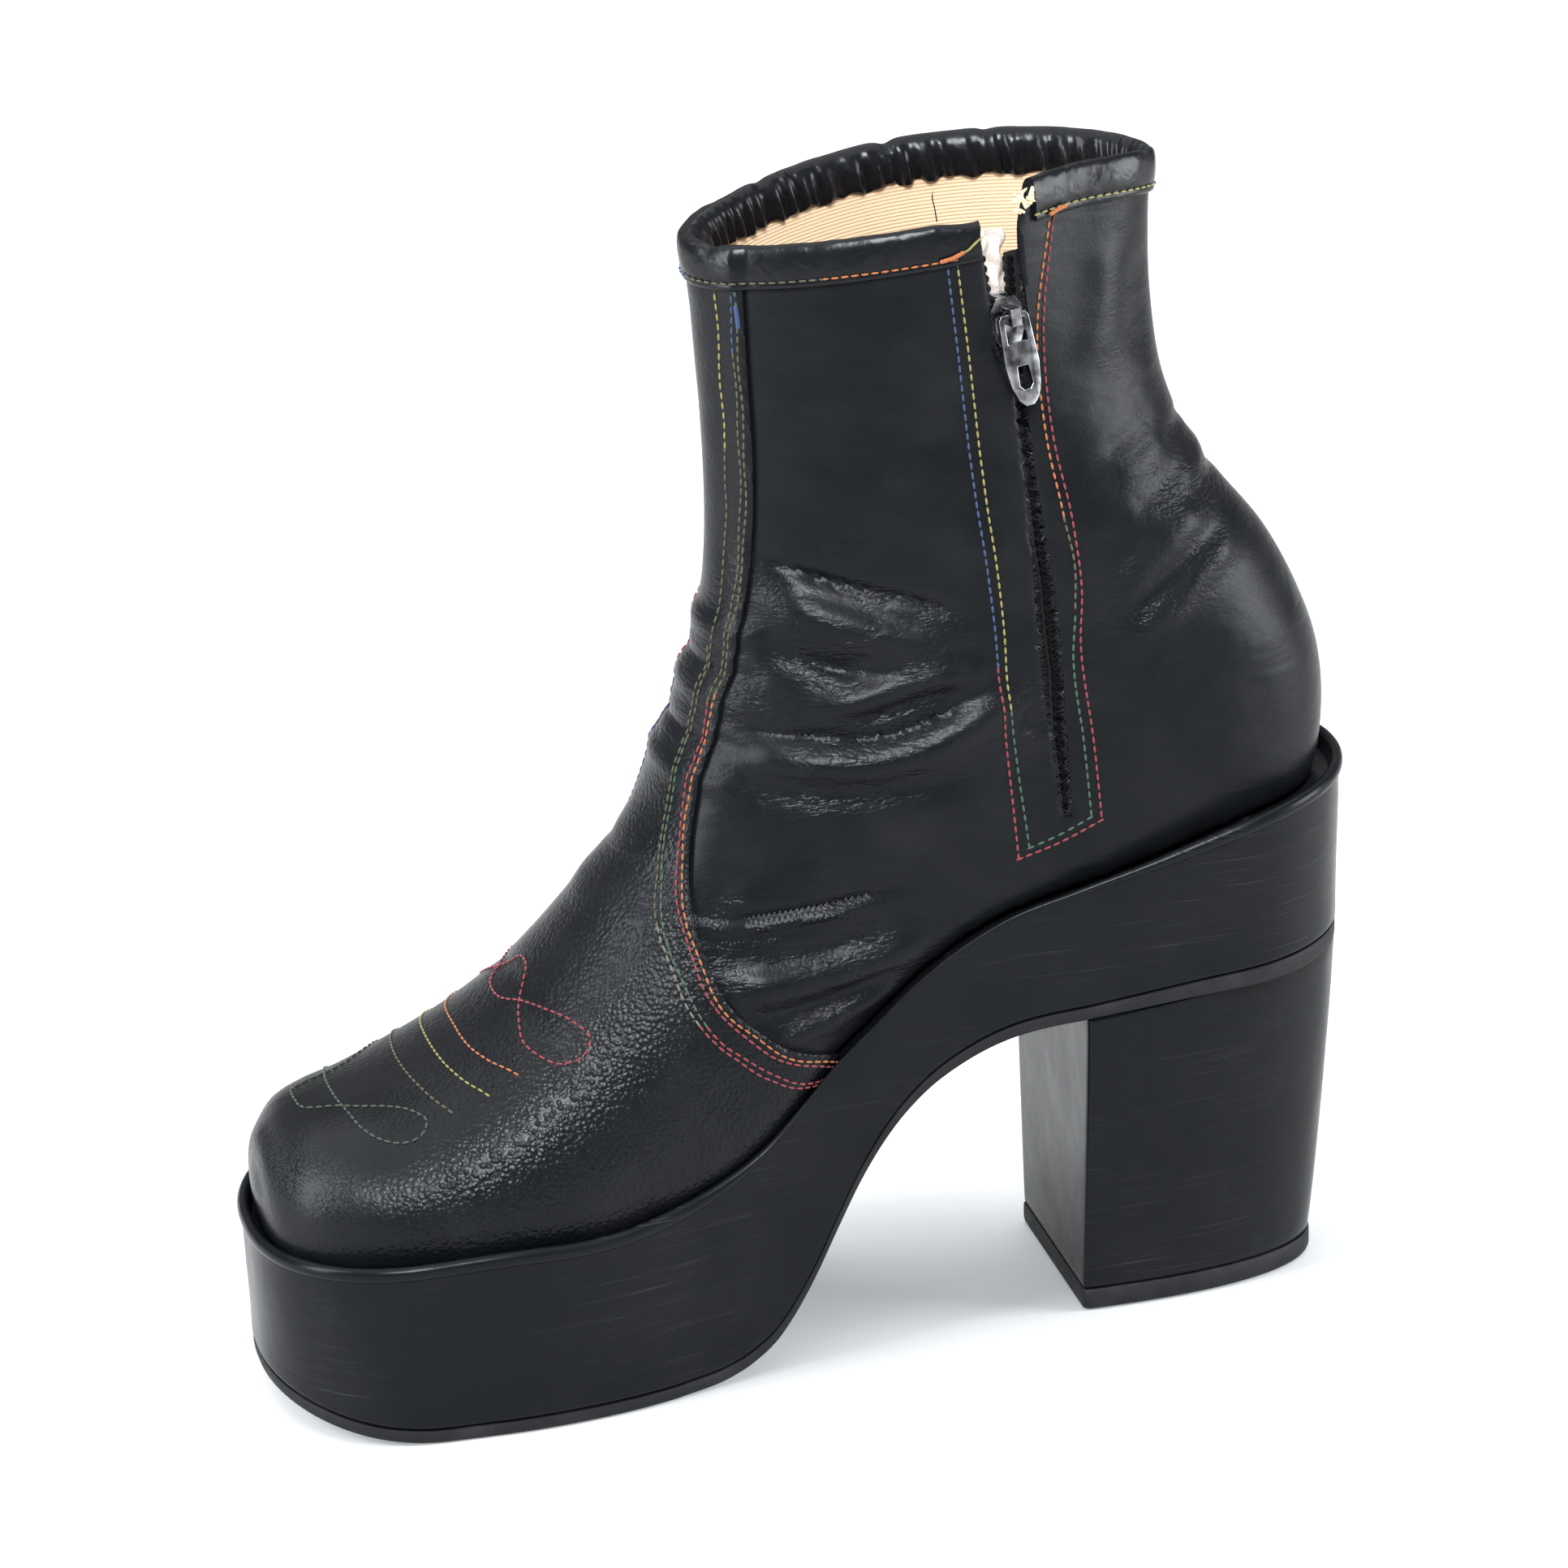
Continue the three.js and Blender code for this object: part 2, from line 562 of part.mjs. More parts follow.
// The upper: one wall, open at the collar, along the zip and underneath
function makeUpper() {
  const outside = skinSolid(0);
  const inside = skinSolid(-wall, openTop);
  return outside.subtract(inside).subtract(underBed(gap)).subtract(slotSlab());
}

// The vamp and the strip up the shaft's front are one panel that laps over the quarters. Its edge,
// seen from the side: x is a share of the length from its middle, rise one of instepRise above bed
const vampEdge = [
  { x: 0.024, rise: -0.02 },
  { x: 0.012, rise: 0.006 },
  { x: -0.019, rise: 0.059 },
  { x: -0.049, rise: 0.117 },
  { x: -0.078, rise: 0.178 },
  { x: -0.097, rise: 0.236 },
  { x: -0.105, rise: 0.297 },
  { x: -0.1, rise: 0.352 },
  { x: -0.087, rise: 0.408 },
  { x: -0.067, rise: 0.464 },
  { x: -0.045, rise: 0.53 },
  { x: -0.031, rise: 0.6 },
  { x: -0.027, rise: 0.7 },
  { x: -0.029, rise: 0.83 },
  { x: -0.032, rise: 1.05 },
];
const vampX = smooth(vampEdge, "x");
const vampRise = smooth(vampEdge, "rise");
const vampSteps = 2.5;
function vampSlab() {
  const last = vampEdge.length - 1;
  const steps = Math.round(last * vampSteps);
  const edge = Array.from({ length: steps + 1 }, (_, i) => {
    const at = (last * i) / steps;
    const x = vampX(at) * soleLength;
    return [x, bed(x) + vampRise(at) * instepRise];
  });
  const reach = soleLength * pastEnds;
  const below = [
    [-reach, -platformHeight],
    [edge[0][0], -platformHeight],
  ];
  return slab([...below, ...edge, [-reach, edge.at(-1)[1]]], -farY, farY);
}
// Everything higher than a distance below the collar's edge
function aboveDrop(drop) {
  const ring = (down) =>
    Array.from({ length: ringPoints }, (_, i) => {
      const round = i / ringPoints;
      return skinOut(stationBelow(down, round), round, 2 * (wall + overlayThickness));
    });
  return solidOf(ringBody([ring(drop), ring(-drop)]));
}
function makeVamp() {
  const outside = skinSolid(gap + overlayThickness);
  const inside = skinSolid(gap, openTop);
  const shell = outside.subtract(inside).intersect(vampSlab()).subtract(underBed(gap));
  return shell.subtract(aboveDrop(bindingDrop + gap));
}

// The binding folded over the collar's edge, on both of its faces, and cut where the zip opens
const bindingTop = 1.6; // above the leather's edge
function makeBinding() {
  const over = gap + bindingThickness;
  const folded = skinSolid(over, bindingTop).subtract(skinSolid(-wall - over, openTop));
  const channel = skinSolid(gap, gap).subtract(skinSolid(-wall - gap, openTop));
  return folded.intersect(aboveDrop(bindingDrop)).subtract(channel).subtract(slotSlab());
}

// The insole lies on the bed inside the upper
function makeInsole() {
  const inside = skinSolid(-wall - gap);
  const raised = underBed(gap + insoleThickness);
  return inside.intersect(raised).subtract(underBed(gap));
}

// The platform: a wrapped wedge from toe to heel, with a raised lip round the upper
const footIn = 1.6; // how far its foot stands in from the lip
const edgeRound = 1.1;
function makePlatform() {
  const lipTop = (x) => bed(x) + lipHeight * outlineLip(shareAt(x));
  const level = (share) => (x) => platformFloor(x) + (lipTop(x) - platformFloor(x)) * share;
  const wedge = ringBody([
    outlineRing(-footIn - edgeRound, platformFloor),
    outlineRing(-footIn, (x) => platformFloor(x) + edgeRound),
    outlineRing(-footIn * 0.75, level(0.4)),
    outlineRing(-footIn * 0.55, level(0.85)),
    outlineRing(0, level(0.94)),
    outlineRing(-edgeRound * 0.45, lipTop),
    outlineRing(-lipWidth, lipTop),
    outlineRing(-lipWidth - 0.5, bed),
  ]);
  const footRoom = skinSolid(overlayThickness + 2 * gap).subtract(underBed(0));
  return solidOf(wedge).subtract(footRoom);
}

// The outsole runs under the platform from the toe through the arch and over the heel
function makeOutsole() {
  const top = (x) => floorLine(x) + soleGauge(x);
  return solidOf(
    ringBody([
      outlineRing(-footIn - edgeRound, floorLine),
      outlineRing(-footIn - 0.2, (x) => floorLine(x) + soleGauge(x) * 0.3),
      outlineRing(-footIn - 0.2, top),
    ]),
  );
}

// The heel's plan: a flat front face and a round back. half and length are its own at each level
const heelPower = 2.5;
const heelSide = 11;
function heelRing(front, length, half, middle, height) {
  const side = (sign) =>
    Array.from({ length: heelSide }, (_, i) => {
      const angle = (Math.PI / 2) * (i / heelSide);
      const x = front + length * Math.sin(angle) ** (2 / heelPower);
      return [x, middle + sign * half * Math.cos(angle) ** (2 / heelPower)];
    });
  const back = [front + length, middle];
  const loop = [[front, middle], ...side(-1), back, ...side(1).reverse()];
  return loop.map(([x, y]) => new THREE.Vector3(x, y, height(x)));
}
const heelFront = xAt(breastShare) + 1.2;
const heelShare = 0.86; // where the platform's half width sets the heel's
const heelTopHalf = halfWidth(heelShare) - footIn - 0.4;
const heelTopLength = xAt(1) - footIn - 0.4 - heelFront;
const heelFootMiddle = 1.5;
function makeHeel() {
  const seat = (x) => floorLine(x) - gap;
  const foot = toplipThickness + gap;
  const footHalf = heelFootWidth / 2;
  const footLength = heelTopLength - heelLean;
  const blend = (share, a, b) => a + (b - a) * share;
  const level = (share) => (x) => foot + (seat(x) - foot) * share;
  const shares = [0, 0.12, 0.45, 0.8, 1];
  const bulge = [0, 0.18, 0.55, 0.87, 1]; // the taper, a little fuller above the foot
  return solidOf(
    ringBody(
      shares.map((share, i) =>
        heelRing(
          heelFront,
          blend(bulge[i], footLength, heelTopLength),
          blend(bulge[i], footHalf, heelTopHalf),
          blend(share, heelFootMiddle, 0),
          level(share),
        ),
      ),
    ),
  );
}
const toplipEdge = 0.8; // broken off its lower edge
const toplipProud = 0.3; // how far it stands out of the heel
function makeToplip() {
  const half = heelFootWidth / 2 + toplipProud;
  const length = heelTopLength - heelLean;
  const ring = (height, grow) =>
    heelRing(heelFront - grow, length + grow, half + grow, heelFootMiddle, () => height);
  return solidOf(ringBody([ring(0, -toplipEdge), ring(toplipEdge, 0), ring(toplipThickness, 0)]));
}

// How far each row of teeth has moved aside: closed under the slider, open above it
function spread(down) {
  const t = THREE.MathUtils.clamp((sliderEnd - 2 - down) / (sliderLength - 2), 0, 1);
  const mouth = THREE.MathUtils.clamp((zipOpen - down) / zipOpen, 0, 1);
  return 0.2 + 1.7 * t * t * (3 - 2 * t) + 1.3 * mouth;
}
const chainTop = -wall - zipClear; // the teeth's outer face
const beadWidth = 0.9;
const toothShare = 0.42; // of the pitch
const toothInset = 0.2; // the teeth are this much thinner than the bead, on both faces
const toothWidth = chainHalf - beadWidth;
const chainClear = 3; // below the binding's inner edge, as the collar slopes across the zip
const chainStart = bindingDrop + chainClear;
const chainEnd = zipLength - 2;
// One row of teeth: a bead with teeth that reach to the middle, laid along the zip's line
function makeTeeth(sign) {
  const count = Math.floor((chainEnd - chainStart) / toothPitch);
  const bar = (near, far, start, length, inset, segments) => {
    const depth = chainDepth - 2 * inset;
    const geometry = new THREE.BoxGeometry(far - near, length, depth, 1, segments, 1);
    geometry.translate((near + far) / 2, start + length / 2, chainTop - chainDepth / 2);
    return mapped(geometry, (a, d, w) => besideZip(sign * (a + spread(d)), d, w));
  };
  const shift = sign > 0 ? toothPitch / 2 : 0.1;
  let row = bar(toothWidth, chainHalf, chainStart, count * toothPitch, 0, count);
  for (let i = 0; i < count; i++) {
    const start = chainStart + i * toothPitch + shift;
    row = row.add(bar(0, toothWidth + beadWidth / 2, start, toothPitch * toothShare, toothInset, 1));
  }
  return row;
}
// Each vertex of a flat geometry, moved to where a function of its three coordinates puts it
function mapped(geometry, place) {
  const merged = mergedBare(geometry);
  const position = merged.attributes.position;
  for (let i = 0; i < position.count; i++) {
    const p = place(position.getX(i), position.getY(i), position.getZ(i));
    position.setXYZ(i, p.x, p.y, p.z);
  }
  return solidOf(merged);
}

// The woven tape on one side of the zip, behind the leather
const tapeSteps = 20;
function makeTape(sign) {
  const top = chainStart;
  const end = zipLength + 5;
  const rings = Array.from({ length: tapeSteps + 1 }, (_, i) => {
    const down = top + ((end - top) * i) / tapeSteps;
    const near = sign * (spread(down) + chainHalf + gap);
    const far = sign * (spread(down) + chainHalf + gap + tapeWidth);
    const middle = (near + far) / 2;
    const outer = chainTop;
    const inner = chainTop - tapeThickness;
    return [
      besideZip(near, down, outer),
      besideZip(middle, down, outer),
      besideZip(far, down, outer),
      besideZip(far, down, inner),
      besideZip(middle, down, inner),
      besideZip(near, down, inner),
    ];
  });
  const turned = rings.map((ring) => [ring[5], ...ring.slice(0, 5)]);
  return solidOf(ringBody(turned));
}

// The slider's own frame: X across towards the heel, Y up the zip, Z out of the leather
const sliderMiddle = zipOpen + sliderLength / 2;
const sliderAt = besideZip(0, sliderMiddle, 0);
const zipUp = besideZip(0, sliderMiddle - 4, 0).sub(besideZip(0, sliderMiddle + 4, 0)).normalize();
const zipOut = besideZip(0, sliderMiddle, 1).sub(sliderAt).normalize();
const zipAcross = new THREE.Vector3().crossVectors(zipUp, zipOut).normalize();
zipOut.crossVectors(zipAcross, zipUp).normalize();
const zipTurn = new THREE.Quaternion().setFromRotationMatrix(
  new THREE.Matrix4().makeBasis(zipAcross, zipUp, zipOut),
);

// A flat plate in the slider's frame, from a half outline of [half width, height] rows
function plate(rows, low, high, holes = []) {
  const right = rows.map(([x, y]) => new THREE.Vector2(x, y));
  const left = [...rows].reverse().map(([x, y]) => new THREE.Vector2(-x, y));
  const shape = new THREE.Shape([...right, ...left]);
  const path = (points) => new THREE.Path(points.map(([x, y]) => new THREE.Vector2(x, y)));
  shape.holes = holes.map(path);
  const geometry = new THREE.ExtrudeGeometry(shape, { depth: high - low, bevelEnabled: false });
  geometry.translate(0, 0, low);
  return solidOf(geometry);
}
function block(width, height, low, high, y = 0) {
  const geometry = new THREE.BoxGeometry(width, height, high - low);
  geometry.translate(0, y, (low + high) / 2);
  return solidOf(geometry);
}

const plateLow = chainTop + sliderClear;
const plateHigh = plateLow + plateThickness;
const hingeOut = gap + pullThickness / 2 + 0.35; // the pull's bar, out from the leather
const hingeUp = sliderLength / 2 - 3.6; // and up from the slider's middle
const bailGap = 0.35;
const bailThickness = 0.9;
const bailWidth = 2.2;
function makeSlider() {
  const half = zipMouth / 2 - 0.45;
  const top = sliderLength / 2;
  const outline = [
    [half * 0.62, -top],
    [half, -top * 0.35],
    [half, top * 0.55],
    [half * 0.55, top],
  ];
  const front = plate(outline, plateLow, plateHigh);
  const behind = chainTop - chainDepth - sliderClear;
  const back = plate(outline, behind - plateThickness, behind);
  const post = block(1.6, 2, behind - 0.1, plateLow + 0.1, top - 1.2);
  const reach = pinSide / 2 + bailGap;
  const bailHigh = hingeOut + reach + bailThickness;
  const outer = block(bailWidth, 2 * (reach + bailThickness), plateHigh - 0.1, bailHigh, hingeUp);
  const window = block(bailWidth + 1, 2 * reach, hingeOut - reach, hingeOut + reach, hingeUp);
  return front.add(back).add(post).add(outer.subtract(window));
}

// The pull hangs from the bar at its top, which lies in the slider's bail
const pullTilt = 7; // degrees out from the zip, so that its tip clears the slot's edges
function makePull() {
  const half = pullWidth / 2;
  const arm = 1.2;
  const bar = pinSide / 2;
  const windowEnd = -6.2;
  const tip = bar - pullLength;
  const outline = [
    [half * 0.72, bar],
    [half * 0.9, bar - 1],
    [half * 0.94, windowEnd],
    [half, windowEnd - 4],
    [half * 0.86, tip + 4.4],
    [half * 0.6, tip + 1.5],
    [half * 0.25, tip],
  ];
  const windowHalf = half * 0.9 - arm;
  const window = [
    [windowHalf, -bar],
    [-windowHalf, -bar],
    [-windowHalf, windowEnd + 0.6],
    [windowHalf, windowEnd + 0.6],
  ];
  const slot = [
    [1.3, windowEnd - 4.6],
    [-1.3, windowEnd - 4.6],
    [-1.5, tip + 4.6],
    [-0.7, tip + 3.6],
    [0.7, tip + 3.6],
    [1.5, tip + 4.6],
  ];
  return plate(outline, -pullThickness / 2, pullThickness / 2, [window, slot]);
}

// Materials, from the photograph
const material = (color, roughness, metalness = 0) =>
  new THREE.MeshStandardMaterial({ color, roughness, metalness });
const blackLeather = material(0x17181a, 0.42);
const glossBinding = material(0x0e0f11, 0.22);
const wrapLeather = material(0x1b1d1f, 0.36);
const blackRubber = material(0x121314, 0.68);
const creamSock = material(0xd9b888, 0.85);
const blackTape = material(0x101011, 0.9);
const blackNylon = material(0x141416, 0.4);
const blackMetal = material(0x2a2b2e, 0.3, 0.85);

const boot = new THREE.Group();
function add(name, solid, finish, group = boot) {
  const mesh = new THREE.Mesh(geometryOf(solid), finish);
  mesh.name = name;
  group.add(mesh);
  return mesh;
}

add("upper", makeUpper(), blackLeather);
add("vamp", makeVamp(), blackLeather);
add("collar_binding", makeBinding(), glossBinding);
add("insole", makeInsole(), creamSock);
add("platform", makePlatform(), wrapLeather);
add("outsole", makeOutsole(), blackRubber);
add("heel_block", makeHeel(), wrapLeather);
add("heel_toplift", makeToplip(), blackRubber);
add("zip_tape_front", makeTape(-1), blackTape);
add("zip_tape_rear", makeTape(1), blackTape);
add("zip_teeth_front", makeTeeth(-1), blackNylon);
add("zip_teeth_rear", makeTeeth(1), blackNylon);

const zipHead = new THREE.Group();
zipHead.position.copy(sliderAt);
zipHead.quaternion.copy(zipTurn);
boot.add(zipHead);
add("zip_slider", makeSlider(), blackMetal, zipHead);
const pull = add("zip_pull", makePull(), blackMetal, zipHead);
pull.position.set(0, hingeUp, hingeOut);
pull.rotation.x = -THREE.MathUtils.degToRad(pullTilt);

export default boot;
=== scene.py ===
# %% [markdown]
# # A zip-up platform ankle boot
# The boot is the right one of a pair: black leather with coloured stitching, a zip on the inner
# side, a wedge platform and a straight block heel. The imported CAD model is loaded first, because it
# fixes where every piece sits. Each cell after it dresses one part of the boot.

# %% Load the frame
import math
import random

import bmesh
import bpy
import numpy as np
from mathutils import Matrix, Vector
from mathutils.bvhtree import BVHTree


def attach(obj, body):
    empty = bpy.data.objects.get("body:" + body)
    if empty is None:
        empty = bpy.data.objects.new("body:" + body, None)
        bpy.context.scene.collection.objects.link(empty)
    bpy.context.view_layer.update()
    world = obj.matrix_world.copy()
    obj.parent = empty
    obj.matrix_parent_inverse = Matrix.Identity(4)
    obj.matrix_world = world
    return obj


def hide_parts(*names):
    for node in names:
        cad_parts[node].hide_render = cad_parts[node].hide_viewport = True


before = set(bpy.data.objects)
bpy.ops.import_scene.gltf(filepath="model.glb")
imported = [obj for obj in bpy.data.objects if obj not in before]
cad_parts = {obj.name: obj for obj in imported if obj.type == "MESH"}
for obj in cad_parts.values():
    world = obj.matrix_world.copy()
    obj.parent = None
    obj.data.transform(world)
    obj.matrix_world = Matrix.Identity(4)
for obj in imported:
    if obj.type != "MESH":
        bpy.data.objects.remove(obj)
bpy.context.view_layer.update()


# %% A new object
def new_object(name, data):
    """An object in the scene, at the origin."""
    made = bpy.data.objects.new(name, data)
    bpy.context.scene.collection.objects.link(made)
    return made


# %% [markdown]
# ## Camera
# The photograph looks down on the inner side from a little in front. The lens is long, so the boot
# fills the frame. The small roll keeps the shaft's lean as the photograph shows it, because there
# the boot stands left of the picture's middle.

# %% Camera
camera_place = Vector((-0.3403, -1.4343, 0.7057))
camera_aim = Vector((0.0, 0.0, 0.124))
camera_roll = math.radians(-1.75)
camera_lens, camera_sensor = 168, 36
camera = new_object("camera", bpy.data.cameras.new("camera"))
camera.data.lens = camera_lens
camera.data.sensor_width = camera_sensor
camera.location = camera_place
look = (camera_aim - camera_place).to_track_quat("-Z", "Y")
camera.rotation_mode = "QUATERNION"
camera.rotation_quaternion = look @ Matrix.Rotation(camera_roll, 3, "Z").to_quaternion()
bpy.context.scene.camera = camera
print("camera distance", round((camera_aim - camera_place).length, 3))

# %% [markdown]
# ## The boot's own sizes
# A bootmaker works from a last, and the last is described by a few sizes and a table of sections.
# The same sizes and tables as in the CAD are used here, in millimetres, so that the finer skin lies
# on the CAD's. A smooth curve runs through each column of the table.

# %% Sizes and smooth curves
MM = 0.001
sole_length, ball_width, heel_width = 250.0, 92.0, 65.0
platform_height, seat_height = 40.5, 118.0
toe_spring, lip_height = 6.5, 2.8
instep_rise, shaft_depth, shaft_width = 203.0, 103.0, 54.0
breast_height, heel_rise = 72.5, 5.0
outsole_thickness, seat_thickness, toplift_thickness = 3.0, 4.5, 5.0
heel_foot_width, heel_lean = 50.0, 5.5
zip_length, zip_open, slider_length = 134.5, 19.0, 10.5
shaft_middle = 0.14 * sole_length


def smooth_curve(at, values):
    """A curve through the points, straight beyond its ends."""
    x = np.asarray(at, float)
    y = np.asarray(values, float)
    secant = np.diff(y) / np.diff(x)
    before, after = np.diff(x)[:-1], np.diff(x)[1:]
    middle = (after * secant[:-1] + before * secant[1:]) / (before + after)
    slope = np.concatenate([secant[:1], middle, secant[-1:]])

    def curve(where):
        w = np.asarray(where, float)
        i = np.clip(np.searchsorted(x, w, side="right") - 1, 0, len(x) - 2)
        h = x[i + 1] - x[i]
        t = np.clip((w - x[i]) / h, 0, 1)
        inside = y[i] * (1 + 2 * t) * (1 - t) ** 2 + y[i + 1] * t * t * (3 - 2 * t)
        inside = inside + h * (slope[i] * t * (1 - t) ** 2 - slope[i + 1] * t * t * (1 - t))
        low = np.minimum(w - x[0], 0) * slope[0]
        high = np.maximum(w - x[-1], 0) * slope[-1]
        return inside + low + high

    return curve


def smoothstep(value, low, high):
    t = np.clip((value - low) / (high - low), 0, 1)
    return t * t * (3 - 2 * t)


def share_at(x):
    return x / sole_length + 0.5


def run_along(points):
    """The way walked along a line, at each of its points."""
    steps = np.linalg.norm(np.diff(points, axis=0), axis=1)
    return np.concatenate([[0], np.cumsum(steps)])


def placed_along(points, want):
    """The places on a line after the wanted ways along it."""
    run = run_along(points)
    return np.stack([np.interp(want, run, points[:, k]) for k in range(points.shape[1])], 1)


def even_loop(loop, count):
    """Equally spaced points round a closed loop."""
    closed = np.concatenate([loop, loop[:1]])
    return placed_along(closed, np.linspace(0, run_along(closed)[-1], count, endpoint=False))


def unit_rows(ways):
    return ways / np.linalg.norm(ways, axis=1)[:, None]


# %% The bed, the floor line and the platform's outline
bed_rise = smooth_curve(
    [0, 0.1, 0.2, 0.3, 0.34, 0.396, 0.44, 0.476, 0.508, 0.548, 0.584, 0.62, 0.664, 0.728,
     0.796, 0.904, 1],
    [-0.026, -0.012, 0, 0, 0.019, 0.071, 0.152, 0.262, 0.374, 0.49, 0.594, 0.675, 0.748, 0.805,
     0.858, 0.948, 1],
)
arch_at = [0.355, 0.404, 0.428, 0.453, 0.47, 0.488, 0.507, 0.53, 0.56, 0.59, 0.625, 0.666, 0.7,
           0.732, 0.85, 1]
arch_rise = smooth_curve(
    arch_at,
    [0, 0.017, 0.048, 0.11, 0.186, 0.29, 0.42, 0.572, 0.725, 0.832, 0.912, 0.97, 0.993, 1, 1, 1],
)
arch_back = smooth_curve(arch_at, [0, 0, 0, 0, 0, 0, 0, 0, 0, 0, 0, 0, 0, 0.05, 0.62, 1])
outline_at = [0, 0.08, 0.16, 0.23, 0.31, 0.4, 0.47, 0.55, 0.65, 0.76, 0.86, 1]
outline_ball = smooth_curve(
    outline_at, [0.82, 0.9, 0.96, 0.99, 0.965, 0.55, 0.25, 0.05, 0, 0, 0, 0])
outline_heel = smooth_curve(
    outline_at, [0, 0, 0, 0, 0, 0.44, 0.745, 0.96, 1, 1.005, 1, 0.96])
outline_skew = smooth_curve(
    outline_at,
    [-0.075, -0.055, -0.034, -0.018, -0.001, 0.018, 0.022, 0.018, 0.01, 0.003, 0, 0])
outline_lip = smooth_curve(outline_at, [1, 1, 1, 1, 1, 0.85, 0.3, 0.12, 0.15, 0.55, 1, 1])
spring_share, breast_share = 0.15, 0.732


def bed(x):
    return platform_height + (seat_height - platform_height) * bed_rise(share_at(x))


def floor_line(x):
    share = share_at(np.asarray(x, float))
    toe = toe_spring * (1 - np.minimum(share / spring_share, 1)) ** 2
    arch = breast_height * arch_rise(share) + heel_rise * arch_back(share)
    return np.where(share < spring_share, toe, np.where(share < arch_at[0], 0, arch))


def sole_gauge(x):
    t = np.clip((share_at(x) - breast_share) / (1 - breast_share), 0, 1)
    return outsole_thickness + (seat_thickness - outsole_thickness) * t


def closing(share, reach, power):
    t = np.clip(1 - share / reach, 0, 1)
    return (1 - t**power) ** (1 / power)


toe_reach, toe_power = 0.144, 2.4
heel_reach, heel_power = 0.132, 2.15


def half_width(share):
    body = outline_ball(share) * ball_width / 2 + outline_heel(share) * heel_width / 2
    return body * closing(share, toe_reach, toe_power) * closing(1 - share, heel_reach, heel_power)


def outline_ring(count):
    """The platform's outline and its outward directions: toe tip, inner side, heel tip, outer."""
    # The shares crowd towards the two tips, where the outline turns fastest.
    t = np.linspace(0, 1, 1201)
    share = t - np.sin(2 * np.pi * t) * 0.118 - np.sin(4 * np.pi * t) * 0.02
    sides = []
    for sign in (-1, 1):
        y = outline_skew(share) * ball_width + sign * half_width(share)
        sides.append(np.stack([(share - 0.5) * sole_length, y], 1))
    ring = even_loop(np.concatenate([sides[0], sides[1][1:-1][::-1]]), count)
    way = unit_rows(np.roll(ring, -1, 0) - np.roll(ring, 1, 0))
    return ring, np.stack([way[:, 1], -way[:, 0]], 1)


print("bed at the ball and the heel", float(bed(-60.0)), float(bed(125.0)))

# %% [markdown]
# ## The last's sections
# The table has a column for each property and a place in every column for each slice through the
# boot, from the toe's tip to the collar. At the toe the slices stand upright, and they turn like the
# pages of an open book until they lie level in the shaft. A slice runs from its back point to its
# front one, each given as shares of the sole's length, the shaft's depth and the instep's rise above
# the bed. Its width is shares of the ball, heel and shaft. It is two halves of a superellipse, whose
# powers make it flat below and round above. Skew, lean, tuck and crown bend it out of symmetry.

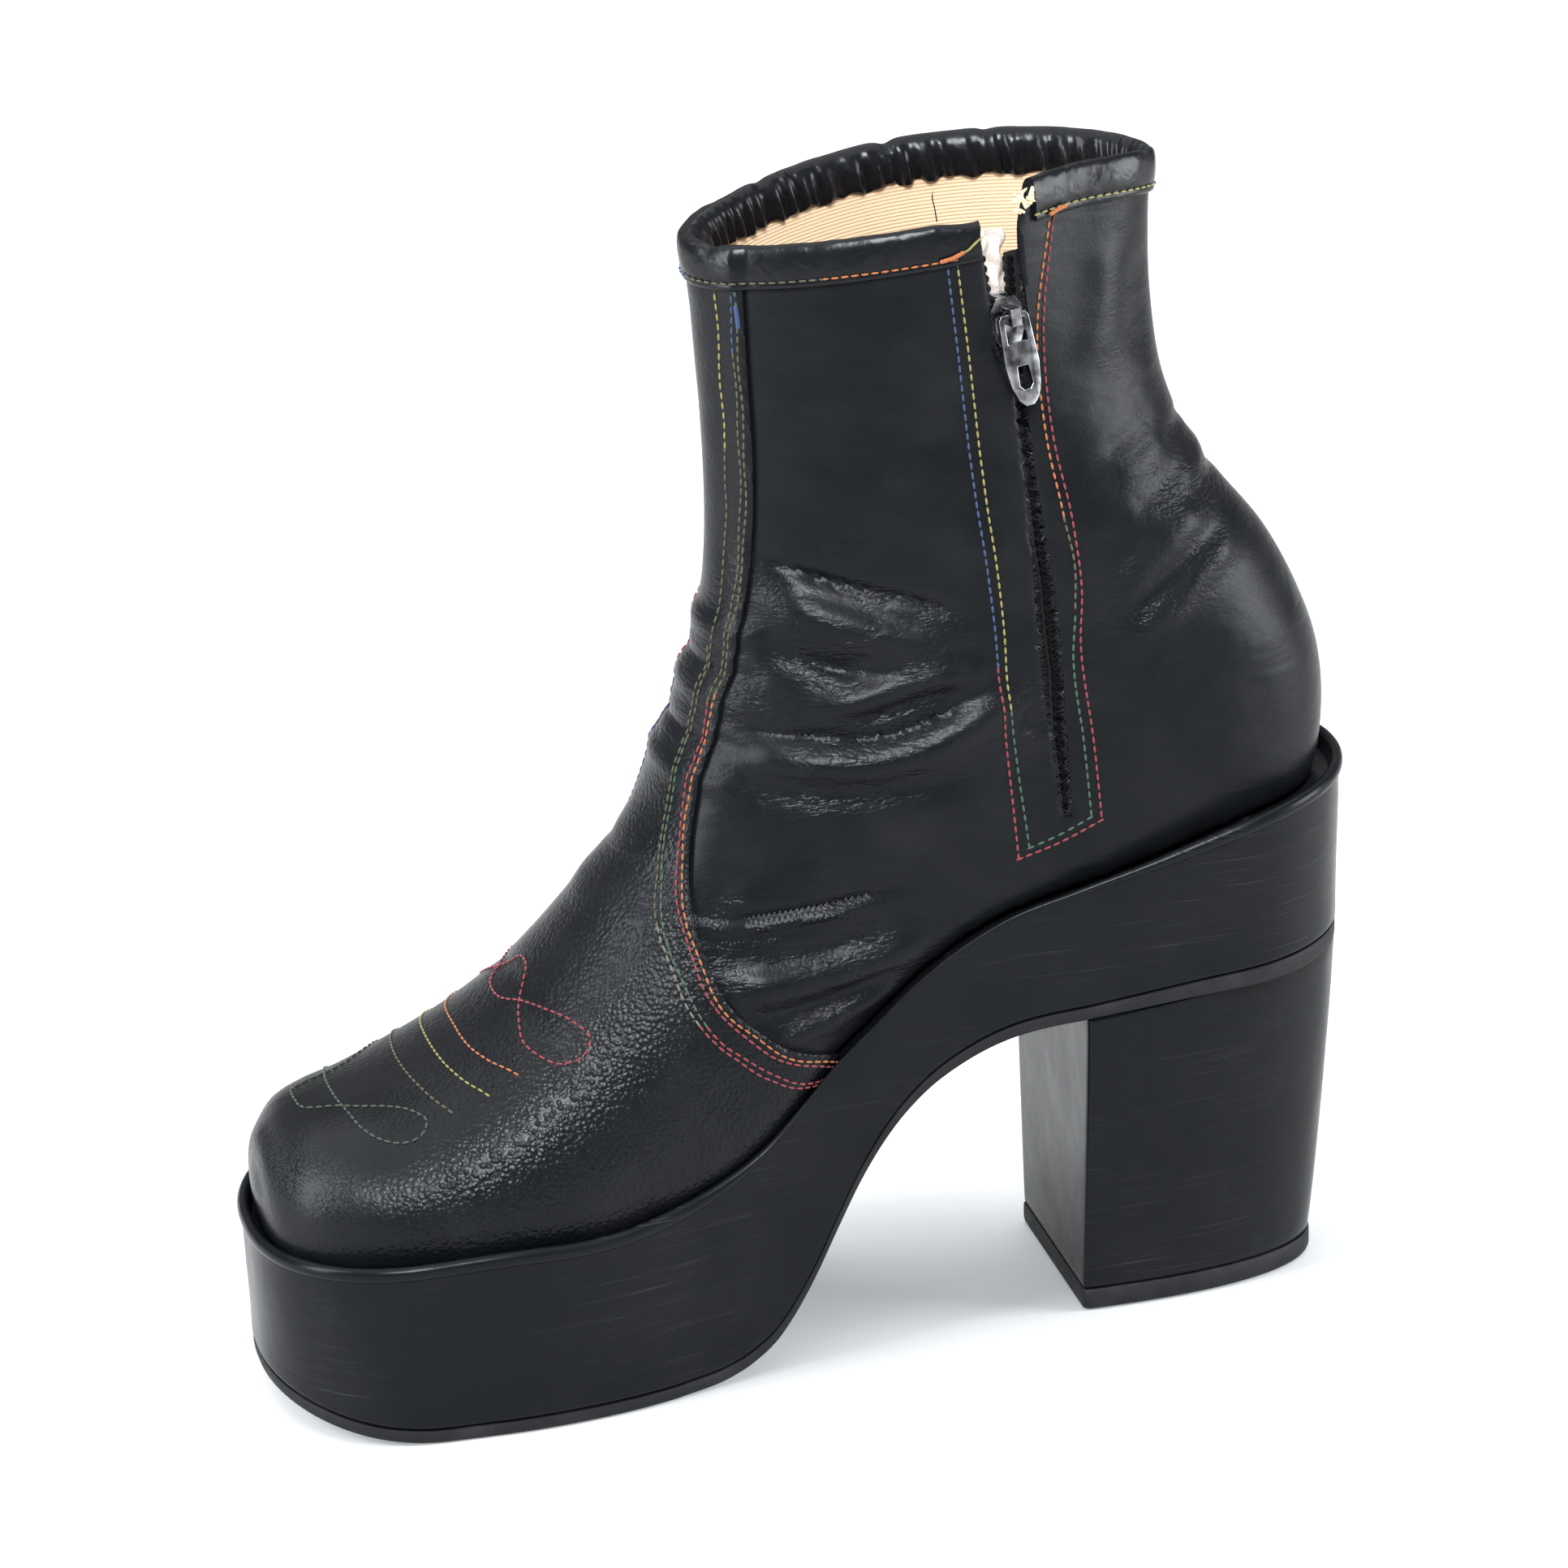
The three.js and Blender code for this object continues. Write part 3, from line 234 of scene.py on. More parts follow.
# %% Section table
section_columns = {
    "front_length": [
        -0.48, -0.4765, -0.467, -0.45, -0.422, -0.386, -0.34, -0.288, -0.238, -0.194, -0.156,
        -0.123, -0.106, -0.087, -0.07, 0.138,
    ] + [0.14] * 13,
    "front_depth": [0] * 15 + [
        -0.48, -0.476, -0.473, -0.472, -0.472, -0.473, -0.474, -0.476, -0.478, -0.48, -0.482,
        -0.486, -0.49, -0.494,
    ],
    "front_rise": [
        0.069, 0.087, 0.097, 0.114, 0.12, 0.126, 0.147, 0.18, 0.232, 0.287, 0.336, 0.386, 0.435,
        0.482, 0.537, 0.581, 0.62, 0.655, 0.688, 0.72, 0.75, 0.778, 0.804, 0.83, 0.857, 0.884,
        0.911, 0.94, 0.958,
    ],
    "back_length": [
        -0.48, -0.4765, -0.467, -0.45, -0.422, -0.388, -0.344, -0.292, -0.228, -0.164, -0.104,
        -0.044, 0.024, 0.1, 0.188, 0.28, 0.37, 0.448, 0.472, 0.482, 0.479, 0.462, 0.434, 0.395,
    ] + [0.14] * 5,
    "back_depth": [0] * 24 + [0.545, 0.498, 0.48, 0.48, 0.489],
    "back_rise": [0.026, -0.003, -0.021] + [-0.026] * 14 + [
        -0.024, 0.008, 0.071, 0.139, 0.207, 0.28, 0.352, 0.421, 0.493, 0.578, 0.653, 0.716,
    ],
    "ball": [
        0.15, 0.3, 0.44, 0.565, 0.68, 0.77, 0.832, 0.868, 0.873, 0.84, 0.57, 0.37, 0.18, 0.04,
    ] + [0] * 15,
    "heel": [0] * 10 + [
        0.33, 0.52, 0.715, 0.885, 0.925, 0.915, 0.89, 0.87, 0.76, 0.58, 0.4, 0.2, 0.08,
    ] + [0] * 6,
    "shaft": [0] * 18 + [0.16, 0.37, 0.585, 0.79, 0.91, 0.98, 0.975, 0.975, 0.98, 0.99, 1],
    "middle": [
        0.5, 0.45, 0.42, 0.4, 0.38, 0.36, 0.34, 0.32, 0.3, 0.29, 0.29, 0.3, 0.32, 0.36, 0.4, 0.42,
        0.42, 0.4, 0.4, 0.41, 0.43, 0.45, 0.46, 0.47, 0.48, 0.49, 0.5, 0.5, 0.5,
    ],
    "front_power": [2.2, 2.3, 2.4, 2.4, 2.4, 2.3, 2.2, 2.1, 2, 1.95, 1.95, 1.95] + [2] * 12 + [
        1.98, 1.95, 1.9, 1.85, 1.8,
    ],
    "back_power": [2.2, 2.6, 3, 3.4, 3.8] + [4] * 6 + [
        4.4, 5, 5.6, 6, 6, 5, 3.6, 2.9, 2.6, 2.4, 2.3, 2.2, 2.15, 2.1, 2.05, 2, 1.95, 1.9,
    ],
    "skew": [
        -0.072, -0.069, -0.063, -0.056, -0.047, -0.037, -0.026, -0.015, -0.006, 0.006, 0.014,
        0.018, 0.018, 0.014, 0.012, 0.01, 0.01, 0.01, 0.011, 0.013, 0.016, 0.02, 0.024, 0.029,
        0.034, 0.039, 0.044, 0.049, 0.054,
    ],
    "lean": [0] * 23 + [0.012, 0.022, 0.032, 0.042, 0.05, 0.055],
    "tuck": [0] * 24 + [0.01, 0.035, 0.075, 0.12, 0.155],
    "crown": [0] * 24 + [0.001, 0.003, 0.006, 0.009, 0.011],
}
flap_lift = 0.6
section_count = len(section_columns["front_length"])
column = {k: smooth_curve(range(section_count), v) for k, v in section_columns.items()}


# %% One slice as points
def section_points(stations, angles):
    """Points of the slices: angle 0 at the back point, a half turn at the front one."""
    get = {k: curve(stations)[:, None] for k, curve in column.items()}
    front = get["front_length"] * sole_length + get["front_depth"] * shaft_depth
    back = get["back_length"] * sole_length + get["back_depth"] * shaft_depth
    front_z = bed(front) + get["front_rise"] * instep_rise
    back_z = bed(back) + get["back_rise"] * instep_rise
    half = (get["ball"] * ball_width + get["heel"] * heel_width + get["shaft"] * shaft_width) / 2
    along = -np.cos(angles)[None, :]
    across = np.sin(angles)[None, :]
    power = 2 / np.where(along < 0, get["back_power"], get["front_power"])
    reach = np.sign(along) * np.abs(along) ** power
    width = np.sign(across) * np.abs(across) ** power
    t = get["middle"] + np.where(along < 0, get["middle"], 1 - get["middle"]) * reach
    behind_zip = smoothstep(-along, 0.1, 0.7) * np.maximum(width, 0)
    y = get["skew"] * ball_width - half * width + get["tuck"] * shaft_width * behind_zip
    lifted = flap_lift * get["tuck"] * shaft_width * smoothstep(-along, 0.1, 0.35)
    rise = get["crown"] * instep_rise * width**2 + lifted * np.maximum(width, 0)
    z = back_z + (front_z - back_z) * t + get["lean"] * y + rise
    return np.stack([back + (front - back) * t, y, z], 2)


def section_rings(stations, count):
    """The slices again, with equally spaced points on each side of the boot."""
    halves = []
    for start in (0.0, math.pi):
        fine = section_points(stations, start + np.linspace(0, math.pi, 181))
        step = np.linalg.norm(np.diff(fine, axis=1), axis=2)
        run = np.concatenate([np.zeros((len(stations), 1)), np.cumsum(step, axis=1)], axis=1)
        ring = np.empty((len(stations), count // 2, 3))
        for row in range(len(stations)):
            want = np.linspace(0, run[row, -1], count // 2, endpoint=False)
            for k in range(3):
                ring[row, :, k] = np.interp(want, run[row], fine[row, :, k])
        halves.append(ring)
    return np.concatenate(halves, axis=1)


# %% The skin as a fine grid
skin_step = 1.25
round_count = 240
trial_stations = np.linspace(0, section_count - 1, 400)
trial = section_rings(trial_stations, 60)
travel = np.linalg.norm(np.diff(trial, axis=0), axis=2).mean(axis=1)
travel_run = np.concatenate([[0], np.cumsum(travel)])
ring_count = int(travel_run[-1] / skin_step)
stations = np.interp(np.linspace(0, travel_run[-1], ring_count), travel_run, trial_stations)
skin = section_rings(stations, round_count)
print("skin grid", skin.shape, "length up the boot", round(float(travel_run[-1]), 1))


def grid_normals(grid):
    along = np.gradient(grid, axis=0)
    around = np.roll(grid, -1, axis=1) - np.roll(grid, 1, axis=1)
    normal = np.cross(along, around)
    return normal / np.maximum(np.linalg.norm(normal, axis=2), 1e-9)[..., None]


skin_normal = grid_normals(skin)
step_down = np.linalg.norm(np.diff(skin, axis=0), axis=2)
skin_down = np.concatenate([np.cumsum(step_down[::-1], axis=0)[::-1], np.zeros((1, round_count))])

# %% [markdown]
# ## Creases
# Worn leather folds where the foot bends: across the front of the ankle, over the ball and behind
# the heel. A cloth simulation would put such folds anywhere, so each one is drawn as a short line
# in the side view, with a height and a width. A fold is a soft ridge with a narrow trough beside
# it. The skin is pushed out or in along its normals.

# %% Creases
INNER, OUTER, BOTH = -1, 1, 0
creases = [
    # side, height, width, points (x, z)
    (INNER, 3.2, 5.2, [(-8, 173), (1, 169.5), (12, 165.5), (24, 162), (36, 160)]),
    (INNER, -1.5, 1.2, [(-6, 181), (4, 177), (14, 174), (26, 171), (36, 167)]),
    (INNER, -1.2, 2.4, [(-8, 162), (4, 159), (16, 157.5)]),
    (INNER, 2.5, 3.2, [(-2, 149), (10.5, 151), (24, 154), (40, 155)]),
    (INNER, -1.2, 1.2, [(6, 146.5), (12, 147), (22, 149.5), (34, 151.5)]),
    (INNER, -1.2, 1.3, [(0, 160), (4, 158.5), (11, 156.8)]),
    (INNER, 2.8, 3.7, [(-16, 139.5), (2, 137.5), (16, 137.5), (28, 140.5), (40, 146), (49, 149)]),
    (INNER, -1.5, 1.1, [(-16, 145.5), (2, 143.5), (16, 143.2), (27, 146), (38, 151)]),
    (INNER, -1.2, 3.0, [(-12, 133), (6, 131), (24, 131), (38, 133)]),
    (INNER, 1.0, 2.0, [(46, 140), (50, 139), (54, 139.5)]),
    (INNER, -1.3, 1.1, [(-28, 105.6), (-20, 105), (-8, 105.6), (4, 107), (16, 108.5), (24, 109)]),
    (INNER, 1.1, 1.2, [(-27, 103.6), (-18, 103.2), (-6, 104), (6, 105), (14, 106.2)]),
    (INNER, -1.0, 1.0, [(-26, 101.4), (-16, 101), (-4, 101.8), (6, 103)]),
    (INNER, -0.8, 2.2, [(-26, 97.5), (-14, 97), (0, 98), (14, 100)]),
    (INNER, 2.6, 4.4, [(-24, 90), (-14, 89.5), (0, 90.5), (14, 93), (26, 96)]),
    (INNER, -0.5, 1.0, [(-24, 94.5), (-12, 94.5), (0, 96), (10, 98)]),
    (INNER, -1.4, 2.6, [(-19, 84), (-6, 84), (8, 87), (20, 91)]),
    (INNER, 1.4, 2.6, [(-14, 77), (-4, 78.5), (8, 83), (20, 88.5)]),
    (INNER, 1.2, 3.6, [(66, 168), (74, 174), (83, 180), (92, 186)]),
    (INNER, -0.8, 1.5, [(68, 163), (76, 169), (86, 175.5), (97, 181)]),
    (INNER, 1.3, 2.6, [(69, 157), (78, 163.5), (88, 170), (99, 176)]),
    (INNER, -0.6, 1.5, [(72, 186), (80, 189), (88, 193.5)]),
    (INNER, 0.7, 2.6, [(68, 193), (76, 195), (84, 199)]),
    (INNER, -0.5, 1.2, [(66, 199), (74, 201.5), (82, 206)]),
    (INNER, 0.35, 0.7, [(72, 143), (76, 151), (80, 160), (86, 170), (90, 177)]),
    (INNER, 0.8, 5.0, [(66, 216), (70, 230), (72, 242)]),
    (INNER, -0.7, 4.0, [(78, 214), (80, 228), (80, 240)]),
    (OUTER, -2.4, 3.0, [(102, 187), (90, 170), (74, 147), (56, 127), (32, 113), (2, 107), (-22, 104)]),
    (OUTER, 2.0, 3.4, [(104, 177), (90, 160), (76, 140), (58, 119.5), (34, 106), (4, 100), (-18, 98)]),
    (OUTER, -0.9, 1.4, [(88, 152), (78, 137), (62, 118), (40, 104), (14, 98)]),
    (OUTER, 0.9, 2.4, [(90, 178), (76, 158), (58, 136), (40, 124)]),
    (OUTER, -0.7, 0.9, [(0, 149), (16, 146.5), (36, 144), (60, 145), (74, 147)]),
    (OUTER, 0.6, 1.6, [(0, 153), (18, 150), (38, 148)]),
    (OUTER, -0.6, 0.8, [(-6, 163), (10, 166), (28, 171), (46, 178)]),
    (OUTER, 0.7, 2.0, [(-10, 133), (6, 131), (22, 130)]),
    (OUTER, -0.8, 1.2, [(-12, 129), (6, 127), (24, 126.5)]),
    (OUTER, 1.1, 2.6, [(-18, 91), (0, 92), (18, 94), (34, 99)]),
    (OUTER, -0.9, 1.6, [(-20, 86), (-2, 87), (16, 90), (30, 95)]),
    (OUTER, 0.8, 4.0, [(60, 176), (72, 190), (80, 206)]),
    (OUTER, -0.7, 2.4, [(72, 178), (80, 192), (86, 206)]),
    (BOTH, 0.9, 2.6, [(-24, 152), (-16, 150), (-8, 149)]),
    (BOTH, -0.8, 1.8, [(-26, 158), (-16, 156), (-6, 155)]),
    (BOTH, 0.9, 2.4, [(-24, 165), (-14, 164), (-6, 164)]),
    (BOTH, -0.8, 2.0, [(-30, 143), (-18, 141), (-8, 139)]),
    (BOTH, 0.8, 2.4, [(-34, 136), (-22, 133), (-12, 131)]),
    (BOTH, -0.5, 2.6, [(-48, 110), (-38, 112), (-26, 110)]),
    (BOTH, 0.5, 3.0, [(-54, 103), (-42, 104), (-30, 101)]),
    (BOTH, -0.5, 3.0, [(-66, 92), (-60, 84), (-58, 72)]),
    (BOTH, 0.6, 2.8, [(84, 190), (92, 192), (98, 196)]),
    (BOTH, -0.6, 2.2, [(84, 184), (94, 187), (102, 191)]),
    (BOTH, -0.6, 1.6, [(82, 197), (90, 200), (96, 203)]),
]


def smooth_line(points, count=28):
    points = np.asarray(points, float)
    run = run_along(points)
    want = np.linspace(0, run[-1], count)
    return np.stack([smooth_curve(run, points[:, k])(want) for k in range(points.shape[1])], 1)


def line_distance(places, line):
    """Distance of flat places to a line, and how far along the line the nearest point is, 0 to 1."""
    best = np.full(len(places), 1e9)
    where = np.zeros(len(places))
    for i in range(len(line) - 1):
        a, b = line[i], line[i + 1]
        t = np.clip(((places - a) @ (b - a)) / ((b - a) @ (b - a)), 0, 1)
        d = np.linalg.norm(places - a - t[:, None] * (b - a), axis=1)
        nearer = d < best
        best[nearer] = d[nearer]
        where[nearer] = (i + t[nearer]) / (len(line) - 1)
    return best, where


middle_fade = (1.0, 7.0)
crackle_reach, crackle_strength = 6.5, 0.6
least_worn_height = 0.7
flat_skin = skin.reshape(-1, 3)
skin_middle = np.repeat(
    (column["skew"](stations) * ball_width)[:, None], round_count, axis=1).reshape(-1)
fold = np.zeros(len(flat_skin))
worn = np.zeros(len(flat_skin))
creased = np.zeros(len(flat_skin))
for side, height, width, points in creases:
    away, where = line_distance(flat_skin[:, [0, 2]], smooth_line(points))
    from_end = np.minimum(where, 1 - where)
    on_side = 1.0
    if side != BOTH:
        on_side = smoothstep(side * (flat_skin[:, 1] - skin_middle), *middle_fade)
    lift = np.exp(-((away / width) ** 2)) * smoothstep(from_end, -0.06, 0.25) * on_side
    fold += height * lift
    if side == OUTER:
        worn += np.maximum(height - least_worn_height, 0) * lift
    around = np.exp(-((away / crackle_reach) ** 2)) * smoothstep(from_end, -0.2, 0.2) * on_side
    creased += abs(height) * around
skin = (flat_skin + skin_normal.reshape(-1, 3) * fold[:, None]).reshape(skin.shape)
skin_normal = grid_normals(skin)


def on_grid(values):
    return np.asarray(values, float).reshape(skin.shape[:2])


skin_fold = on_grid(fold)
skin_worn = on_grid(np.clip(worn, 0, 2))
skin_creased = on_grid(np.clip(creased * crackle_strength, 0, 1))
print("creases", len(creases), "deepest", round(float(fold.min()), 2), "highest",
      round(float(fold.max()), 2))

# %% [markdown]
# ## Cutting panels out of the skin
# A panel's edge rarely follows the grid, so each edge is given as a number at every point: above
# zero is kept, below zero is cut away. Faces that the edge crosses are cut along it. That keeps the
# long curved edges of the leather clean.

# %% Sheets and their cutting
def grid_sheet(points, normals, **fields):
    """A sheet from the grid: closed round the boot, open at the toe's end and at the collar."""
    rows, cols = points.shape[:2]
    index = np.arange(rows * cols).reshape(rows, cols)
    a, b = index[:-1], np.roll(index[:-1], -1, axis=1)
    c, d = np.roll(index[1:], -1, axis=1), index[1:]
    faces = np.stack([a, d, c, b], axis=2).reshape(-1, 4)
    sheet = {k: np.asarray(v, float).reshape(rows * cols, -1) for k, v in fields.items()}
    sheet.update(p=points.reshape(-1, 3), n=normals.reshape(-1, 3), faces=faces.tolist())
    return sheet


edge_snap = 0.04


def cut(sheet, keep):
    """The part of a sheet where the number is above zero; points very near the edge lie on it."""
    keep = np.asarray(keep, float).reshape(-1)
    keep = np.where(np.abs(keep) < edge_snap, 0.0, keep)
    value = keep.tolist()
    kept = (keep >= 0).tolist()
    pairs, shares, index = [], [], {}

    def crossing(a, b):
        key = (min(a, b), max(a, b))
        if key not in index:
            index[key] = len(value) + len(pairs)
            pairs.append(key)
            shares.append(value[key[0]] / (value[key[0]] - value[key[1]]))
        return index[key]

    faces = []
    for face in sheet["faces"]:
        flags = [kept[i] for i in face]
        if all(flags):
            faces.append(face)
            continue
        if not any(flags):
            continue
        loop = []
        for k, a in enumerate(face):
            b = face[(k + 1) % len(face)]
            if kept[a]:
                loop.append(a)
            if kept[a] != kept[b] and value[a if kept[a] else b] != 0:
                loop.append(crossing(a, b))
        if len(loop) > 2:
            faces.append(loop)
    out = {}
    pair = np.array(pairs, int).reshape(-1, 2)
    share = np.array(shares).reshape(-1, 1)
    for key, values in sheet.items():
        if key != "faces":
            mixed = values[pair[:, 0]] * (1 - share) + values[pair[:, 1]] * share
            out[key] = np.concatenate([values, mixed])
    used = np.unique(np.concatenate([np.array(f) for f in faces]))
    fresh = np.full(len(out["p"]), -1)
    fresh[used] = np.arange(len(used))
    for key in out:
        out[key] = out[key][used]
    out["faces"] = [[int(fresh[i]) for i in face] for face in faces]
    return out


def open_edges(faces):
    """The directed edges that have no face on their other side."""
    seen = {}
    for face in faces:
        for k, a in enumerate(face):
            seen[(a, face[(k + 1) % len(face)])] = True
    return [edge for edge in seen if (edge[1], edge[0]) not in seen]


rim_depth = 0.45


def thicken(sheet, thickness, rounding):
    """A closed piece from a sheet: the sheet outside, its copy inside, and a rim round each edge."""
    points, normals, faces = sheet["p"].copy(), sheet["n"], sheet["faces"]
    edges = open_edges(faces)
    rim = sorted({i for edge in edges for i in edge})
    count = len(points)
    middle = {i: 2 * count + k for k, i in enumerate(rim)}
    inner = points - normals * thickness
    edge_points = points[rim] - normals[rim] * thickness * rim_depth
    points[rim] -= normals[rim] * rounding
    solid = {
        "p": np.concatenate([points, inner, edge_points]),
        "n": np.concatenate([normals, normals, normals[rim]]),
    }
    for key, values in sheet.items():
        if key not in ("p", "n", "faces"):
            solid[key] = np.concatenate([values, values, values[rim]])
    solid["faces"] = faces + [[i + count for i in reversed(face)] for face in faces]
    for a, b in edges:
        solid["faces"].append([b, a, middle[a], middle[b]])
        solid["faces"].append([middle[b], middle[a], a + count, b + count])
    return solid


# %% Making an object
def add_mesh(name, points, faces, finish, smooth=True, sharp_angle=50, uv=None, **values):
    """A piece from points in millimetres, with its place in its mesh and its object at the origin."""
    mesh = bpy.data.meshes.new(name)
    mesh.from_pydata((np.asarray(points, float) * MM).tolist(), [], faces)
    mesh.polygons.foreach_set("use_smooth", [smooth] * len(mesh.polygons))
    if smooth:
        mesh.set_sharp_from_angle(angle=math.radians(sharp_angle))
    if uv is not None:
        layer = mesh.uv_layers.new(name="UVMap")
        corners = np.empty(len(mesh.loops), int)
        mesh.loops.foreach_get("vertex_index", corners)
        layer.data.foreach_set("uv", np.asarray(uv, float)[corners].ravel())
    for key, data in values.items():
        attribute = mesh.attributes.new(key, "FLOAT", "POINT")
        attribute.data.foreach_set("value", np.asarray(data, np.float32).ravel())
    mesh.update()
    piece = new_object(name, mesh)
    mesh.materials.append(finish)
    print(name, len(mesh.vertices), "points", len(mesh.polygons), "faces")
    return piece


def sheet_piece(name, solid, finish, *steering, uv=None):
    """A piece from a thickened sheet, with the numbers that steer its finish."""
    values = {key: solid[key] for key in steering}
    return add_mesh(name, solid["p"], solid["faces"], finish, uv=uv, **values)


def evaluated_mesh(piece):
    """The piece's mesh with its modifiers applied."""
    graph = bpy.context.evaluated_depsgraph_get()
    return bpy.data.meshes.new_from_object(piece.evaluated_get(graph), depsgraph=graph)


def seat_piece(piece, body, slot, *nodes):
    """The piece rides on its body and stands for its CAD nodes; the slot is not used."""
    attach(piece, body)
    if nodes:
        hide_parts(*nodes)
    return piece


# %% [markdown]
# ## Finishes
# Each finish is a small node tree on object coordinates, so nothing slides and nothing needs a
# picture. Leather is a dark dye over a grain: the colour hardly changes, and the eye reads it by
# its gloss. So most of the work goes into roughness and bump, at the grain's real size.

# %% Node helpers
class Finish:
    """A material with its shader, and short calls for the nodes that feed it."""

    def __init__(self, name, color, roughness, metallic=0.0, specular=0.5):
        self.material = bpy.data.materials.new(name)
        self.material.use_nodes = True
        self.nodes = self.material.node_tree.nodes
        self.links = self.material.node_tree.links
        self.shader = self.nodes["Principled BSDF"]
        self.set("Base Color", (*color, 1))
        self.set("Roughness", roughness)
        self.set("Metallic", metallic)
        self.set("Specular IOR Level", specular)
        self.material.diffuse_color = (*color, 1)

    def set(self, socket, value):
        self.shader.inputs[socket].default_value = value

    def add(self, kind, **settings):
        node = self.nodes.new(kind)
        for key, value in settings.items():
            setattr(node, key, value)
        return node

    def link(self, start, end):
        self.links.new(start, end)
        return end

    def place(self, scale=(1, 1, 1), turn=(0, 0, 0), source="Object"):
        """Coordinates in millimetres, times a scale along each axis."""
        coordinate = self.add("ShaderNodeTexCoord")
        mapping = self.add("ShaderNodeMapping")
        mapping.inputs["Scale"].default_value = [1000 * s for s in scale]
        mapping.inputs["Rotation"].default_value = turn
        self.link(coordinate.outputs[source], mapping.inputs["Vector"])
        return mapping.outputs["Vector"]

    def noise(self, place, scale, detail=3.0, rough=0.5, warp=0.0):
        node = self.add("ShaderNodeTexNoise")
        node.inputs["Scale"].default_value = scale
        node.inputs["Detail"].default_value = detail
        node.inputs["Roughness"].default_value = rough
        node.inputs["Distortion"].default_value = warp
        self.link(place, node.inputs["Vector"])
        return node.outputs["Fac"]

    def cells(self, place, scale, feature="F1"):
        node = self.add("ShaderNodeTexVoronoi", feature=feature)
        node.inputs["Scale"].default_value = scale
        self.link(place, node.inputs["Vector"])
        return node.outputs["Distance"]

    def warped(self, place, scale, reach):
        """The coordinates pushed about by a noise, up to a reach in millimetres."""
        node = self.add("ShaderNodeTexNoise")
        node.inputs["Scale"].default_value = scale
        push = self.add("ShaderNodeVectorMath", operation="MULTIPLY_ADD")
        push.inputs[1].default_value = (reach, reach, reach)
        self.link(place, node.inputs["Vector"])
        self.link(node.outputs["Color"], push.inputs[0])
        self.link(place, push.inputs[2])
        return push.outputs[0]

    def value(self, name):
        return self.add("ShaderNodeAttribute", attribute_name=name).outputs["Fac"]

    def math(self, kind, first, second):
        node = self.add("ShaderNodeMath", operation=kind)
        for socket, item in zip(node.inputs, (first, second)):
            if isinstance(item, (int, float)):
                socket.default_value = item
            else:
                self.link(item, socket)
        return node.outputs[0]

    def span(self, source, low, high, to_low=0.0, to_high=1.0):
        """A value moved from one range to another, and held inside it."""
        node = self.add("ShaderNodeMapRange")
        sockets = {"From Min": low, "From Max": high, "To Min": to_low, "To Max": to_high}
        for key, item in sockets.items():
            node.inputs[key].default_value = item
        self.link(source, node.inputs["Value"])
        return node.outputs["Result"]

    def mix(self, share, first, second):
        node = self.add("ShaderNodeMix", data_type="RGBA")
        self.link(share, node.inputs["Factor"])
        for socket, item in ((node.inputs["A"], first), (node.inputs["B"], second)):
            if isinstance(item, tuple):
                socket.default_value = (*item, 1)
            else:
                self.link(item, socket)
        return node.outputs["Result"]

    def color(self, source):
        self.link(source, self.shader.inputs["Base Color"])

    def rough(self, source):
        self.link(source, self.shader.inputs["Roughness"])

    def bump(self, *layers):
        """Heights of 0 to 1, each with its size in millimetres, one on top of the other."""
        normal = None
        for height, size in layers:
            node = self.add("ShaderNodeBump")
            node.inputs["Strength"].default_value = 1.0
            node.inputs["Distance"].default_value = size * MM
            self.link(height, node.inputs["Height"])
            if normal is not None:
                self.link(normal, node.inputs["Normal"])
            normal = node.outputs["Normal"]
        self.link(normal, self.shader.inputs["Normal"])


# %% Leathers
ink = (0.0036, 0.0043, 0.0054)
dusty = (0.0074, 0.0080, 0.0094)
rubbed = (0.060, 0.061, 0.064)
wrap_dusty = (0.0062, 0.0068, 0.0078)
scratched = (0.026, 0.027, 0.029)


def crackle(finish, stretch, tilt, creased):
    """Cells whose edges are narrow furrows, only where the leather is creased; 1 is untouched."""
    place = finish.warped(finish.place(stretch, tilt), 0.9, 0.7)
    cells = finish.cells(place, 1.0, "DISTANCE_TO_EDGE")
    furrow = finish.span(cells, 0.0, 0.22, 1.0, 0.0)
    return finish.math("SUBTRACT", 1.0, finish.math("MULTIPLY", furrow, creased))


def quarter_leather():
    """Thin smooth leather: satin, finely cracked and more polished where it has folded."""
    finish = Finish("smooth_leather", ink, 0.34, specular=0.12)
    place = finish.place()
    folds = finish.noise(finish.place((0.05, 0.05, 0.11), (0, 0.25, 0)), 1.0, 2, 0.5, 0.5)
    fine = finish.noise(finish.place((0.35, 0.35, 1.1), (0, 0.2, 0)), 1.0, 4, 0.65, 0.8)
    grain = finish.noise(place, 1.9, 3, 0.6)
    cloud = finish.noise(place, 0.045, 3, 0.6)
    patches = finish.span(finish.noise(place, 0.09, 3, 0.6), 0.38, 0.62)
    creased = finish.math("MULTIPLY", finish.value("creased"), patches)
    coarse = crackle(finish, (0.17, 0.17, 0.62), (0, 0.15, 0), creased)
    small = crackle(finish, (0.50, 0.50, 0.95), (0, 0.3, 0), creased)
    wear = finish.value("worn")
    scuff = finish.math("MULTIPLY", finish.span(wear, 0.3, 1.3), finish.span(grain, 0.44, 0.64))
    finish.color(finish.mix(scuff, finish.mix(finish.span(cloud, 0.42, 0.75), ink, dusty), rubbed))
    gloss = finish.math("ADD", finish.span(cloud, 0.3, 0.75, 0.29, 0.39),
                        finish.span(grain, 0.3, 0.7, -0.05, 0.06))
    gloss = finish.math("SUBTRACT", gloss, finish.math("MULTIPLY", creased, 0.06))
    finish.rough(finish.math("ADD", gloss, finish.math("MULTIPLY", scuff, 0.18)))
    finish.bump((folds, 0.45), (fine, 0.035), (coarse, 0.09), (small, 0.06), (grain, 0.035))
    return finish.material


